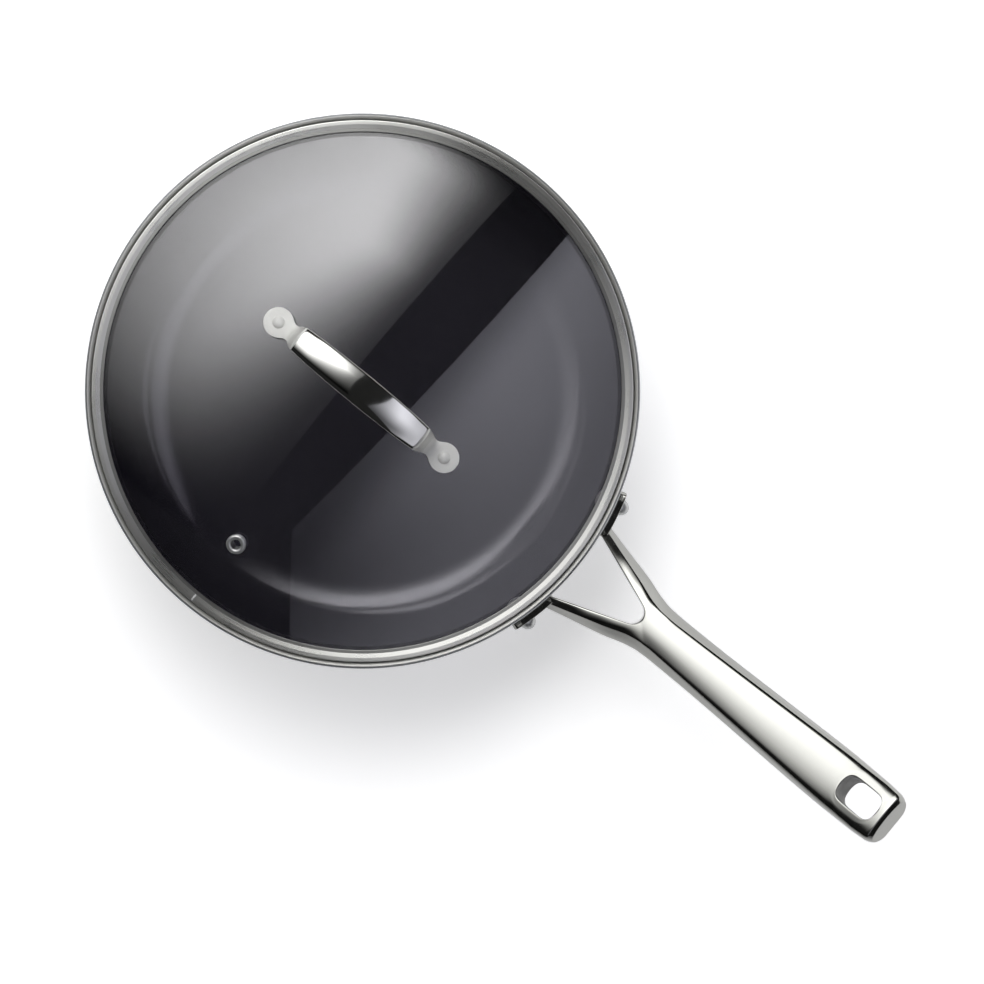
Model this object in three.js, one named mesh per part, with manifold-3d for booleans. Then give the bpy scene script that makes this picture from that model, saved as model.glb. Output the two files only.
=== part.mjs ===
// A saute pan with a glass lid, in millimetres, with +Z up and the long handle along +X.
// The origin is the centre of the pan's underside, so the pan stands on z = 0.
// The lid lies in the pan's flared lip and lifts straight off.
import * as THREE from "three";
import { mergeVertices } from "three/addons/utils/BufferGeometryUtils.js";
import Module from "manifold-3d";

const wasm = await Module();
wasm.setup();

const rad = THREE.MathUtils.degToRad;

// Facets round the large and the small turned pieces
const largeSides = 60;
const smallSides = 16;
const weldDistance = 1e-4;

// Clearances
const fitGap = 0.3; // between pieces that are clamped, seated or riveted together
const shankGap = 0.3; // round a shank in its hole
const bondLine = 0.1; // between two plies of the pan's sheet
const lidPlay = 0.8; // round the lid's skirt in the mouth

// Pan body, a bowl pressed from three bonded plies
const mouthRadius = 139.2; // inside of the wall, where the lip starts
const wallTop = 61.5; // height of that place above the table
const wallDraft = rad(7); // outward lean of the wall
const cornerRadius = 37; // inside, from the floor to the wall
const lipRadius = 12; // of the lip's outward curl, on its inside face
const lipLean = rad(42); // outward lean of the lip at its edge
const outerPly = 0.6;
const corePly = 1.3;
const innerPly = 0.6;
const cornerSteps = 5;
const lipSteps = 2;

// Pan handle, a cast Y with two legs that end in flanges on the wall
const flangeThickness = 5.6;
const flangeHeight = 23;
const flangeDrop = 1.7; // from the start of the lip down to the flange
const flangeWidth = 24.6;
const flangeCorner = 4;
const forkHalfWidth = 19.4; // between the legs at the flanges
const forkAngle = rad(20); // each leg's inner edge to the handle's axis
const forkRadius = 6.5; // where the legs join
const handleCrown = 1.4; // of the handle's top face
const widestShare = 0.62; // depth of the widest line as a share of the section
const bottomShare = 0.62; // width of the underside as a share of the widest line
const loopLength = 24.6; // hanging hole, along the slope
const loopWidth = 15;
const loopCorner = 6;
const loopMargin = 16; // from the middle of the hanging hole to the tip

// Stations of the handle from inside the wall to the tip: run outward from the flanges, rise of the
// top line over the middle of the flanges, half width of the top face and of the widest line, and
// depth square to the slope
const handleStations = [
  { run: -17.4, rise: 10.4, top: 28.5, wide: 31.5, depth: 14 },
  { run: -1.4, rise: 10.9, top: 24, wide: 26.8, depth: 14 },
  { run: 13.3, rise: 12.4, top: 19.3, wide: 23, depth: 14 },
  { run: 28.5, rise: 16.1, top: 14.5, wide: 19.2, depth: 14 },
  { run: 37, rise: 19.3, top: 11.2, wide: 16, depth: 14.2 },
  { run: 44.6, rise: 22.6, top: 9.5, wide: 14.2, depth: 14.5 },
  { run: 53.1, rise: 26.1, top: 9.1, wide: 13.8, depth: 14.5 },
  { run: 80.7, rise: 37.5, top: 9.9, wide: 13.9, depth: 15.2 },
  { run: 130, rise: 58.2, top: 11, wide: 15.2, depth: 16.4 },
  { run: 159.6, rise: 71.8, top: 12.1, wide: 15.9, depth: 17.2 },
  { run: 184.7, rise: 84.2, top: 12.5, wide: 15.4, depth: 18 },
  { run: 193.3, rise: 88.6, top: 12.2, wide: 14.6, depth: 18 },
  { run: 195.8, rise: 89.9, top: 10.6, wide: 12.8, depth: 17.4 },
];

// Rivets of the pan handle, one through each flange
const rivetMargin = 7.4; // from the flange's outer edge
const handleRivetShank = 2.8;
const handleRivetHead = 4.6;
const handleRivetRise = 5.6;
const insideHead = 6.2;
const insideHeadRise = 5;

// Lid band, a strip rolled round the edge of the glass
const bandSheet = 0.8;
const brimMargin = 1.25; // from the brim's edge to the lip's edge
const brimRise = 2; // from the brim's edge up to the crown
const hemChamfer = 0.7; // between the folded outer edge and the flat top
const crimpLap = 4.1; // of the band over the glass
const crimpDrop = 0.7; // from the flat top down to the crimped edge
const crimpWidth = 1.5; // of the crimped edge inside the flat top

// Lid glass, a shallow dome
const domeRadius = 380;
const glassThickness = 4;
const domeSteps = 8;

// Lid handle, a cast bridge on two round feet
const rivetSpan = 108.6; // between the two feet
const footRadius = 7.7;
const footThickness = 2.2;
const bridgeRise = 31.5; // from a foot to the top of the bridge
const bridgeCrown = 1.7;

// Stations of the bridge from its middle to a foot: reach in from the foot (none at the middle),
// drop from the top, half width, and thickness
const bridgeStations = [
  { drop: 0, half: 7.7, depth: 4.6 },
  { reach: 28, drop: 2.4, half: 7.3, depth: 4.4 },
  { reach: 20, drop: 4.6, half: 7, depth: 4.2 },
  { reach: 16.4, drop: 5.9, half: 6.8, depth: 4.2 },
  { reach: 14.8, drop: 8.2, half: 6.6, depth: 4 },
  { reach: 12.6, drop: 16, half: 5.6, depth: 3.8 },
  { reach: 11.2, drop: 24, half: 4.8, depth: 3.4 },
  { reach: 9.8, drop: 28.6, half: 4.4, depth: 2.8 },
  { reach: 5.4, drop: 30.8, half: 4.4, depth: 2.2 },
  { reach: 0, drop: 31.5, half: 4.6, depth: 2 },
];

// Lid rivets and the washers under them
const lidRivetShank = 2.4;
const lidRivetHead = 3.2;
const lidRivetRise = 1.9;
const lidTailHead = 4;
const lidTailRise = 1.6;
const upperGasket = { radius: 6.8, thickness: 1 };
const lowerGasket = { radius: 8, thickness: 1.2 };
const backingWasher = { radius: 7, thickness: 1 };

// Steam vent, an eyelet in the glass on the -Y side
const ventInset = 32.1; // from the band's inner edge to the vent's middle
const ventBore = 2.5;
const ventWall = 0.8;
const ventFlange = 5.2;
const ventFlangeThickness = 1.1;
const ventGasketThickness = 0.6;

// Materials
const steel = { color: 0xc9cacb, metalness: 1, roughness: 0.18 };
const mirrorSteel = { color: 0xd4d5d6, metalness: 1, roughness: 0.06 };
const aluminium = { color: 0xb4b6b8, metalness: 1, roughness: 0.35 };
const coating = { color: 0x2b2a2e, metalness: 0, roughness: 0.4 };
const glass = { color: 0xdfe6e4, metalness: 0, roughness: 0.03, transparent: true, opacity: 0.3 };
const silicone = { color: 0x2c2c2e, metalness: 0, roughness: 0.6 };

// Worked out from the sizes above
const sheet = innerPly + corePly + outerPly + 2 * bondLine;
const cornerHeight = sheet + cornerRadius;
const wallLength = (wallTop - cornerHeight + cornerRadius * Math.sin(wallDraft)) / Math.cos(wallDraft);
const floorRadius =
  mouthRadius - cornerRadius * Math.cos(wallDraft) - wallLength * Math.sin(wallDraft);
const lipCentreRadius = mouthRadius + lipRadius * Math.cos(wallDraft);
const lipCentreHeight = wallTop - lipRadius * Math.sin(wallDraft);
const lipEdgeRadius = lipCentreRadius - lipRadius * Math.cos(lipLean);

const flangeTop = wallTop - flangeDrop;
const flangeMiddle = flangeTop - flangeHeight / 2;
const flangeSeat = sheet + fitGap;
const handleRoot = wallRadius(flangeMiddle, flangeSeat + flangeThickness);
const loopRun = handleStations.at(-1).run - loopMargin;
const handleRivetOffset = forkHalfWidth + flangeWidth - rivetMargin;

const skirtRadius = mouthRadius - lidPlay;
const brimRadius = lipEdgeRadius - brimMargin;
const brimHeight = lipHeight(brimRadius) + fitGap;
const crownHeight = brimHeight + brimRise + bandSheet;
const crimpRadius = skirtRadius - crimpLap;
const crimpHeight = crownHeight - crimpDrop - bandSheet;
const ventReach = crimpRadius - ventInset;
const glassRadius = skirtRadius - bandSheet - fitGap;
const domeCentre = crimpHeight - fitGap - Math.sqrt(domeRadius ** 2 - crimpRadius ** 2);
const glassEdgeSlope = Math.asin(glassRadius / domeRadius);
const glassLow = domeCentre + (domeRadius - glassThickness) * Math.cos(glassEdgeSlope);
const footSeat = upperGasket.thickness + 2 * fitGap;
const footHeight = footSeat + footThickness;

// The wall's radius at a height, at a depth into the sheet from its inside face
function wallRadius(height, depth) {
  return mouthRadius - (wallTop - height) * Math.tan(wallDraft) + depth / Math.cos(wallDraft);
}

// The height of the lip's inside face at a radius
function lipHeight(radius) {
  return lipCentreHeight + Math.sqrt(lipRadius ** 2 - (lipCentreRadius - radius) ** 2);
}

function point(radius, height) {
  return new THREE.Vector2(radius, height);
}

function arc(centre, radius, from, to, steps) {
  return Array.from({ length: steps + 1 }, (_, i) => {
    const angle = from + ((to - from) * i) / steps;
    return point(centre.x + radius * Math.cos(angle), centre.y + radius * Math.sin(angle));
  });
}

// A quarter of an ellipse from the edge of a rivet's head up to its top, on the axis
function headArc(radius, base, rise) {
  return [0, 1, 2, 3].map((i) => {
    const angle = rad(i * 30);
    return point(i === 3 ? 0 : radius * Math.cos(angle), base + rise * Math.sin(angle));
  });
}

// A profile of radius and height, turned round the Z axis
function turned(profile, sides) {
  return new THREE.LatheGeometry(profile, sides).rotateX(rad(90));
}

// A ring whose section is closed on itself
function turnedRing(profile, sides) {
  return turned([...profile, profile[0].clone()], sides);
}

function rod(radius, from, to) {
  return turned([point(0, from), point(radius, from), point(radius, to), point(0, to)], smallSides);
}

function washer(bore, radius, from, to) {
  const section = [point(bore, from), point(radius, from), point(radius, to), point(bore, to)];
  return turnedRing(section, smallSides);
}

function roundedRectangle(length, width, corner) {
  const x = length / 2 - corner;
  const y = width / 2 - corner;
  const shape = new THREE.Shape();
  shape.absarc(x, y, corner, 0, rad(90));
  shape.absarc(-x, y, corner, rad(90), rad(180));
  shape.absarc(-x, -y, corner, rad(180), rad(270));
  shape.absarc(x, -y, corner, rad(270), rad(360));
  return shape;
}

// A flat outline pulled straight along its own +Z, centred on its plane
function pulled(shape, depth) {
  const made = new THREE.ExtrudeGeometry(shape, { depth, bevelEnabled: false, curveSegments: 4 });
  return made.translate(0, 0, -depth / 2);
}

// A skin through sections with equally many points, closed by a fan at each end
function loft(sections) {
  const count = sections[0].length;
  const middles = [sections[0], sections.at(-1)].map((section) =>
    section.reduce((sum, p) => sum.add(p), new THREE.Vector3()).divideScalar(count),
  );
  const corners = [...sections.flat(), ...middles];
  const first = sections.length * count;
  const last = (sections.length - 1) * count;
  const faces = [];
  for (let i = 0; i < count; i++) {
    const next = (i + 1) % count;
    for (let a = 0; a < last; a += count) {
      const b = a + count;
      faces.push(a + i, a + next, b + next, a + i, b + next, b + i);
    }
    faces.push(first, next, i, first + 1, last + i, last + next);
  }
  const made = new THREE.BufferGeometry().setFromPoints(corners);
  made.setIndex(faces);
  return made;
}

function solid(geometry) {
  const bare = new THREE.BufferGeometry();
  bare.setAttribute("position", geometry.getAttribute("position"));
  bare.setIndex(geometry.getIndex());
  const merged = mergeVertices(bare, weldDistance);
  const corners = merged.getIndex().array;
  const kept = [];
  for (let i = 0; i < corners.length; i += 3) {
    const [a, b, c] = corners.slice(i, i + 3);
    if (a !== b && b !== c && c !== a) kept.push(a, b, c);
  }
  const vertProperties = merged.getAttribute("position").array;
  return new wasm.Manifold(new wasm.Mesh({ numProp: 3, vertProperties, triVerts: new Uint32Array(kept) }));
}

function geometryOf(made) {
  const mesh = made.getMesh();
  const indexed = new THREE.BufferGeometry();
  indexed.setAttribute("position", new THREE.BufferAttribute(mesh.vertProperties, 3));
  indexed.setIndex(new THREE.BufferAttribute(mesh.triVerts, 1));
  const flat = indexed.toNonIndexed();
  flat.computeVertexNormals();
  return flat;
}

function piece(name, geometry, look) {
  const mesh = new THREE.Mesh(geometry, new THREE.MeshStandardMaterial(look));
  mesh.name = name;
  return mesh;
}

// A frame at a place round the Z axis, with its own +Z leaning outward from the vertical
function frameAt(radius, height, azimuth, lean) {
  const turn = new THREE.Matrix4().makeRotationZ(azimuth);
  const move = new THREE.Matrix4().makeTranslation(radius, 0, height);
  return turn.multiply(move).multiply(new THREE.Matrix4().makeRotationY(lean));
}

// A frame on the glass, square to the dome
function domeFrame(radius, azimuth) {
  const lean = Math.asin(radius / domeRadius);
  return frameAt(radius, domeCentre + domeRadius * Math.cos(lean), azimuth, lean);
}

// A frame on the wall's outside face behind a flange, square to the wall
function rivetFrame(side) {
  const radius = wallRadius(flangeMiddle, sheet);
  return frameAt(radius, flangeMiddle, side * Math.asin(handleRivetOffset / radius), rad(90) + wallDraft);
}

const sides = [
  { name: "left", sign: 1 },
  { name: "right", sign: -1 },
];
const feet = [
  { name: "front", azimuth: 0 },
  { name: "rear", azimuth: rad(180) },
];

// The bowl's section from the axis to the rim, at a depth into the sheet from its inside face
function bowlLine(depth) {
  const cornerCentre = point(floorRadius, cornerHeight);
  const lipCentre = point(lipCentreRadius, lipCentreHeight);
  return [
    point(0, sheet - depth),
    ...arc(cornerCentre, cornerRadius + depth, rad(-90), -wallDraft, cornerSteps),
    ...arc(lipCentre, lipRadius - depth, rad(180) - wallDraft, rad(180) - lipLean, lipSteps),
  ];
}

// One ply between two depths, drilled for the handle's rivets
function ply(from, to) {
  const profile = [...bowlLine(to), ...bowlLine(from).reverse()];
  const drill = rod(handleRivetShank + shankGap, -2 * sheet, sheet);
  const drilled = sides.reduce(
    (made, side) => made.subtract(solid(drill.clone().applyMatrix4(rivetFrame(side.sign)))),
    solid(turned(profile, largeSides)),
  );
  return geometryOf(drilled);
}

function pan() {
  const coreFrom = innerPly + bondLine;
  const outerFrom = coreFrom + corePly + bondLine;
  const group = new THREE.Group();
  group.add(
    piece("pan_inner_ply", ply(0, innerPly), coating),
    piece("pan_core_ply", ply(coreFrom, coreFrom + corePly), aluminium),
    piece("pan_outer_ply", ply(outerFrom, sheet), steel),
  );
  return group;
}

// A handle section, from the widest line over the crowned top and back under the bottom
function handleSection(station) {
  const { top, wide, depth } = station;
  const crown = [1, 0.6, 0.2, -0.2, -0.6, -1].map((share) => [share * top, -handleCrown * share ** 2]);
  return [
    [wide, -widestShare * depth],
    ...crown,
    [-wide, -widestShare * depth],
    [-bottomShare * wide, -depth],
    [bottomShare * wide, -depth],
  ];
}

// A handle section stood at its station, square to the top line
function placedSection(station, i) {
  const before = handleStations[Math.max(i - 1, 0)];
  const after = handleStations[Math.min(i + 1, handleStations.length - 1)];
  const slope = Math.atan2(after.rise - before.rise, after.run - before.run);
  const x = handleRoot + station.run;
  const z = flangeMiddle + station.rise;
  return handleSection(station).map(
    ([y, up]) => new THREE.Vector3(x - up * Math.sin(slope), y, z + up * Math.cos(slope)),
  );
}

// A flange, the part of a ring round the wall that lies behind a rounded rectangle
function flange(sign) {
  const low = flangeTop - flangeHeight - flangeCorner;
  const high = flangeTop + flangeCorner;
  const ringInside = flangeSeat;
  const ringOutside = flangeSeat + flangeThickness;
  const ring = turnedRing(
    [
      point(wallRadius(low, ringInside), low),
      point(wallRadius(low, ringOutside), low),
      point(wallRadius(high, ringOutside), high),
      point(wallRadius(high, ringInside), high),
    ],
    largeSides,
  );
  const plate = pulled(roundedRectangle(flangeWidth, flangeHeight, flangeCorner), mouthRadius);
  const alongX = new THREE.Matrix4().makeBasis(
    new THREE.Vector3(0, 1, 0),
    new THREE.Vector3(0, 0, 1),
    new THREE.Vector3(1, 0, 0),
  );
  const offset = sign * (forkHalfWidth + flangeWidth / 2);
  return solid(ring).intersect(
    solid(plate.applyMatrix4(alongX).translate(mouthRadius, offset, flangeMiddle)),
  );
}

// The gap between the legs, open towards the pan and round where the legs join
function forkGap() {
  const centre = (forkHalfWidth - forkRadius / Math.cos(forkAngle)) / Math.tan(forkAngle);
  const touch = rad(90) - forkAngle;
  const mouthHalf = forkHalfWidth + mouthRadius * Math.tan(forkAngle);
  const shape = new THREE.Shape();
  shape.moveTo(-mouthRadius, mouthHalf);
  shape.lineTo(centre + forkRadius * Math.cos(touch), forkRadius * Math.sin(touch));
  shape.absarc(centre, 0, forkRadius, touch, -touch, true);
  shape.lineTo(-mouthRadius, -mouthHalf);
  const tall = 4 * flangeHeight + centre;
  return solid(pulled(shape, tall).translate(handleRoot, 0, flangeMiddle));
}

// The hanging hole, square to the top line at its run
function hangingHole() {
  const i = handleStations.findIndex((station) => station.run > loopRun);
  const a = handleStations[i - 1];
  const b = handleStations[i];
  const slope = Math.atan2(b.rise - a.rise, b.run - a.run);
  const rise = a.rise + (loopRun - a.run) * Math.tan(slope);
  const hole = pulled(roundedRectangle(loopLength, loopWidth, loopCorner), 4 * a.depth);
  return solid(hole.rotateY(-slope).translate(handleRoot + loopRun, 0, flangeMiddle + rise));
}

// All the space that the pan and its clearance take up beside the handle
function panSpace() {
  const outside = bowlLine(sheet + fitGap);
  return solid(turned([...outside, point(0, outside.at(-1).y)], largeSides));
}

function panHandle() {
  const drill = rod(handleRivetShank + shankGap, 0, 4 * flangeThickness);
  let made = solid(loft(handleStations.map(placedSection)));
  made = made.subtract(forkGap()).subtract(hangingHole());
  for (const side of sides) made = made.add(flange(side.sign));
  made = made.subtract(panSpace());
  for (const side of sides) {
    made = made.subtract(solid(drill.clone().applyMatrix4(rivetFrame(side.sign))));
  }
  return piece("pan_handle", geometryOf(made), mirrorSteel);
}

// A rivet of the pan handle, with its low head inside the pan and its round head on the flange
function handleRivet(side) {
  const inside = -sheet - fitGap;
  const outside = flangeThickness + 2 * fitGap;
  const tail = headArc(insideHead, inside, -insideHeadRise).reverse();
  const profile = [
    ...tail,
    point(handleRivetShank, inside),
    point(handleRivetShank, outside),
    ...headArc(handleRivetHead, outside, handleRivetRise),
  ];
  const group = new THREE.Group();
  group.applyMatrix4(rivetFrame(side.sign));
  group.add(piece(`handle_rivet_${side.name}`, turned(profile, smallSides), steel));
  return group;
}

function lidBand() {
  const low = glassLow - fitGap - bandSheet;
  const channel = skirtRadius - bandSheet;
  const profile = [
    point(brimRadius, brimHeight),
    point(brimRadius, crownHeight - hemChamfer),
    point(brimRadius - hemChamfer, crownHeight),
    point(crimpRadius + crimpWidth, crownHeight),
    point(crimpRadius, crimpHeight + bandSheet),
    point(crimpRadius, crimpHeight),
    point(channel, crownHeight - bandSheet),
    point(channel, low + bandSheet),
    point(crimpRadius, low + bandSheet),
    point(crimpRadius, low),
    point(skirtRadius, low),
    point(skirtRadius, brimHeight),
  ];
  return piece("lid_rim_band", turnedRing(profile, largeSides), steel);
}

function lidGlass() {
  const centre = point(0, domeCentre);
  const edge = rad(90) - glassEdgeSlope;
  const under = arc(centre, domeRadius - glassThickness, rad(90), edge, domeSteps);
  const over = arc(centre, domeRadius, edge, rad(90), domeSteps);
  under[0].x = 0;
  over[domeSteps].x = 0;
  let made = solid(turned([...under, ...over], largeSides));
  const deep = 3 * glassThickness;
  const rivetDrill = rod(lidRivetShank + shankGap, -deep, deep);
  const ventDrill = rod(ventBore + ventWall + shankGap, -deep, deep);
  for (const foot of feet) {
    made = made.subtract(solid(rivetDrill.clone().applyMatrix4(domeFrame(rivetSpan / 2, foot.azimuth))));
  }
  made = made.subtract(solid(ventDrill.applyMatrix4(domeFrame(ventReach, rad(-90)))));
  return piece("lid_glass", geometryOf(made), glass);
}

// A bridge section, crowned on its outer face
function bridgeSection({ half, depth }) {
  const crown = [1, 0.5, 0, -0.5, -1].map((share) => [share * half, depth / 2 - bridgeCrown * share ** 2]);
  return [...crown, [-0.75 * half, -depth / 2], [0.75 * half, -depth / 2]];
}

// The bridge's middle line from the rear foot to the front foot
function bridgePath() {
  const footPoint = new THREE.Vector3(0, 0, footSeat + footThickness / 2);
  const foot = footPoint.applyMatrix4(domeFrame(rivetSpan / 2, 0));
  const top = foot.z + bridgeRise;
  const front = bridgeStations.map((station) => {
    const x = station.reach === undefined ? 0 : foot.x - station.reach;
    const z = top - (bridgeRise * station.drop) / bridgeStations.at(-1).drop;
    return { ...station, x, z };
  });
  const rear = front.slice(1).map((station) => ({ ...station, x: -station.x }));
  return [...rear.reverse(), ...front];
}

function lidHandle() {
  const path = bridgePath();
  const sections = path.map((station, i) => {
    const before = path[Math.max(i - 1, 0)];
    const after = path[Math.min(i + 1, path.length - 1)];
    const slope = Math.atan2(after.z - before.z, after.x - before.x);
    return bridgeSection(station).map(
      ([y, up]) =>
        new THREE.Vector3(station.x - up * Math.sin(slope), y, station.z + up * Math.cos(slope)),
    );
  });
  let made = solid(loft(sections));
  const disc = rod(footRadius, footSeat, footHeight);
  const under = rod(footRadius, 0, footSeat);
  const drill = rod(lidRivetShank + shankGap, 0, 2 * footHeight);
  const headRoom = rod(lidRivetHead + shankGap, footHeight, 2 * footHeight);
  for (const foot of feet) {
    const frame = domeFrame(rivetSpan / 2, foot.azimuth);
    const cuts = [under, headRoom, drill].map((cut) => solid(cut.clone().applyMatrix4(frame)));
    made = made.add(solid(disc.clone().applyMatrix4(frame)));
    for (const cut of cuts) made = made.subtract(cut);
  }
  return piece("lid_handle", geometryOf(made), mirrorSteel);
}

// A foot's rivet through the glass, with the washers that it clamps
function lidFixing(foot) {
  const gasketLow = -glassThickness - fitGap;
  const washerLow = gasketLow - lowerGasket.thickness - fitGap;
  const tailBase = washerLow - backingWasher.thickness - fitGap;
  const headBase = footHeight + fitGap;
  const bore = lidRivetShank + shankGap;
  const rivet = [
    ...headArc(lidTailHead, tailBase, -lidTailRise).reverse(),
    point(lidRivetShank, tailBase),
    point(lidRivetShank, headBase),
    ...headArc(lidRivetHead, headBase, lidRivetRise),
  ];
  const upper = washer(bore, upperGasket.radius, fitGap, fitGap + upperGasket.thickness);
  const lower = washer(bore, lowerGasket.radius, gasketLow - lowerGasket.thickness, gasketLow);
  const backing = washer(bore, backingWasher.radius, washerLow - backingWasher.thickness, washerLow);
  const group = new THREE.Group();
  group.applyMatrix4(domeFrame(rivetSpan / 2, foot.azimuth));
  group.add(
    piece(`lid_rivet_${foot.name}`, turned(rivet, smallSides), steel),
    piece(`upper_gasket_${foot.name}`, upper, silicone),
    piece(`lower_gasket_${foot.name}`, lower, silicone),
    piece(`backing_washer_${foot.name}`, backing, steel),
  );
  return group;
}

// The vent's eyelet, flared over a gasket above the glass and rolled out below it
function vent() {
  const tube = ventBore + ventWall;
  const gasketTop = fitGap + ventGasketThickness;
  const flangeLow = gasketTop + fitGap;
  const rollTop = -glassThickness - fitGap;
  const rollLow = rollTop - ventWall;
  const eyelet = [
    point(ventBore, rollLow),
    point(ventFlange - ventWall, rollLow),
    point(ventFlange - ventWall, rollTop),
    point(tube, rollTop),
    point(tube, flangeLow),
    point(ventFlange, flangeLow),
    point(ventFlange, flangeLow + ventFlangeThickness / 2),
    point(ventFlange - ventWall, flangeLow + ventFlangeThickness),
    point(ventBore, flangeLow + ventFlangeThickness),
  ];
  const gasket = washer(tube + shankGap, ventFlange - shankGap, fitGap, gasketTop);
  const group = new THREE.Group();
  group.applyMatrix4(domeFrame(ventReach, rad(-90)));
  group.add(
    piece("vent_eyelet", turnedRing(eyelet, smallSides), steel),
    piece("vent_gasket", gasket, silicone),
  );
  return group;
}

const sautePan = new THREE.Group();
sautePan.name = "saute_pan";
sautePan.add(pan(), panHandle(), ...sides.map(handleRivet));
sautePan.add(lidBand(), lidGlass(), lidHandle(), ...feet.map(lidFixing), vent());

export default sautePan;
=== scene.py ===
import math

import bmesh
import bpy
from bpy.props import FloatProperty, FloatVectorProperty, PointerProperty
from mathutils import Matrix, Vector


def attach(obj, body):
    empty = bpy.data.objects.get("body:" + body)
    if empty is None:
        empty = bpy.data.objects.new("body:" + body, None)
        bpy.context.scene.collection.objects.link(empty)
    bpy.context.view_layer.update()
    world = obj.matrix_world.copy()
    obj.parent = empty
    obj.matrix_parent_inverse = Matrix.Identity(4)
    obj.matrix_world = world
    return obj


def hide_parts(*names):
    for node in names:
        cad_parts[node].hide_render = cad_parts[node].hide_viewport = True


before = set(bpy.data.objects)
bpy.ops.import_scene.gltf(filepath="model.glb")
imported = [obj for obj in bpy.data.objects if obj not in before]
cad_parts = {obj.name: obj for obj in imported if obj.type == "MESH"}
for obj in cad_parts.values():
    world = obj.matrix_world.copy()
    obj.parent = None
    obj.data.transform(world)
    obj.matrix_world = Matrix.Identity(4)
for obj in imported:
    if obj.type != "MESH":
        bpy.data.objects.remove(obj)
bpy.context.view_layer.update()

bl_info = {
    "name": "Saute Pan with Glass Lid",
    "version": (1, 0, 0),
    "blender": (4, 5, 0),
    "location": "3D View > Sidebar > Saute Pan",
    "description": "Models a clad saute pan with a forked handle and a glass lid over its CAD frame",
    "category": "Object",
}

MM = 0.001
SAME_POINT = 2e-6  # points closer than this are one point
QUARTER_TURN = math.radians(90)
SHARP_ANGLE = math.radians(40)  # bends sharper than this stay crisp
LARGE_STEPS = 192  # round the bowl, the glass and the band
SMALL_STEPS = 40  # round the rivets, gaskets and the vent
SUBDIVISIONS = 2


def linear(hex_colour):
    """An sRGB hex colour as linear red, green and blue."""
    channels = [int(hex_colour[i:i + 2], 16) / 255 for i in (1, 3, 5)]
    return tuple(c / 12.92 if c <= 0.04045 else ((c + 0.055) / 1.055) ** 2.4 for c in channels)


def length(name, description, millimetres):
    """A size, written in millimetres and kept in metres."""
    return FloatProperty(
        name=name, description=description, default=millimetres * MM, unit="LENGTH", precision=4
    )


def angle(name, description, degrees):
    """An angle, written in degrees and kept in radians."""
    return FloatProperty(
        name=name, description=description, default=math.radians(degrees), subtype="ANGLE"
    )


def number(name, description, value):
    """A plain number."""
    return FloatProperty(name=name, description=description, default=value)


def colour(name, description, hex_colour):
    """A surface colour, written as an sRGB hex value."""
    return FloatVectorProperty(
        name=name, description=description, default=linear(hex_colour), subtype="COLOR", min=0, max=1
    )


class PanSizes(bpy.types.PropertyGroup):
    """The bowl and the long handle."""

    mouth_radius: length("Mouth radius", "Inside of the wall where the lip starts", 139.2)
    wall_top: length("Wall top", "Height of the lip's start above the table", 61.5)
    wall_draft: angle("Wall draft", "Outward lean of the wall", 7)
    corner_radius: length("Corner radius", "Inside, from the floor to the wall", 37)
    lip_radius: length("Lip radius", "Inside of the lip's outward curl", 12)
    lip_lean: angle("Lip lean", "Outward lean of the lip under the lid's brim", 42)
    rim_lean: angle("Rim lean", "Outward lean of the lip at its rounded edge", 45.6)
    bare_lean: angle("Bare lean", "Stretch of the lip that is ground bare of its coating", 21)
    outer_ply: length("Outer ply", "Thickness of the outer steel sheet", 0.6)
    core_ply: length("Core ply", "Thickness of the aluminium core", 1.3)
    inner_ply: length("Inner ply", "Thickness of the coated inner sheet", 0.6)
    bond_line: length("Bond line", "Room between two plies", 0.1)
    seat_gap: length("Seat gap", "Room between pieces that are riveted together", 0.3)
    flange_thickness: length("Flange thickness", "Square to the wall", 5.6)
    flange_height: length("Flange height", "Along the wall", 23)
    flange_drop: length("Flange drop", "From the lip's start down to the flange", 1.7)
    flange_width: length("Flange width", "Across one flange", 24.6)
    flange_corner: length("Flange corner", "Rounding of the flange's outline", 4)
    flange_dish: length("Flange dish", "Fall of the flange's top towards the wall", 0.25)
    fork_half_width: length("Fork half width", "Half the gap between the legs at the flanges", 19.4)
    fork_angle: angle("Fork angle", "Each leg's inner edge to the handle's axis", 20)
    fork_radius: length("Fork radius", "Where the legs join", 6.5)
    handle_crown: length("Handle crown", "Of the grip's top face", 1.7)
    leg_crown: length("Leg crown", "Of the legs' top faces", 0.7)
    leg_edge_round: length("Leg edge round", "Rolled edge along the legs' top face", 1.0)
    edge_round: length("Edge round", "Rolled edge along the grip's top face", 3.8)
    tip_edge_fall: length("Tip edge fall", "Further fall of the top face's edges near the tip", 0.4)
    inner_edge_round: length("Inner edge round", "Rolled edge round the fork's end", 0.7)
    loop_edge_round: length("Loop edge round", "Rolled edge round the hanging hole", 1.2)
    leg_inner_round: length("Leg inner round", "Rolled edge along the inside of the legs", 1.6)
    loop_length: length("Loop length", "Hanging hole, along the slope", 24.6)
    loop_width: length("Loop width", "Hanging hole, across the handle", 15)
    loop_corner: length("Loop corner", "Rounding of the hanging hole", 4.8)
    loop_margin: length("Loop margin", "From the hole's middle to the tip", 16)
    rivet_margin: length("Rivet margin", "From a flange's outer edge to its rivet", 7.4)
    rivet_shank: length("Rivet shank", "Radius of the shank", 2.8)
    rivet_head: length("Rivet head", "Radius of the outer head", 4.6)
    rivet_rise: length("Rivet rise", "Height of the outer head", 5.6)
    inside_head: length("Inside head", "Radius of the head inside the pan", 6.2)
    inside_rise: length("Inside rise", "Height of the head inside the pan", 5)


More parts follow.
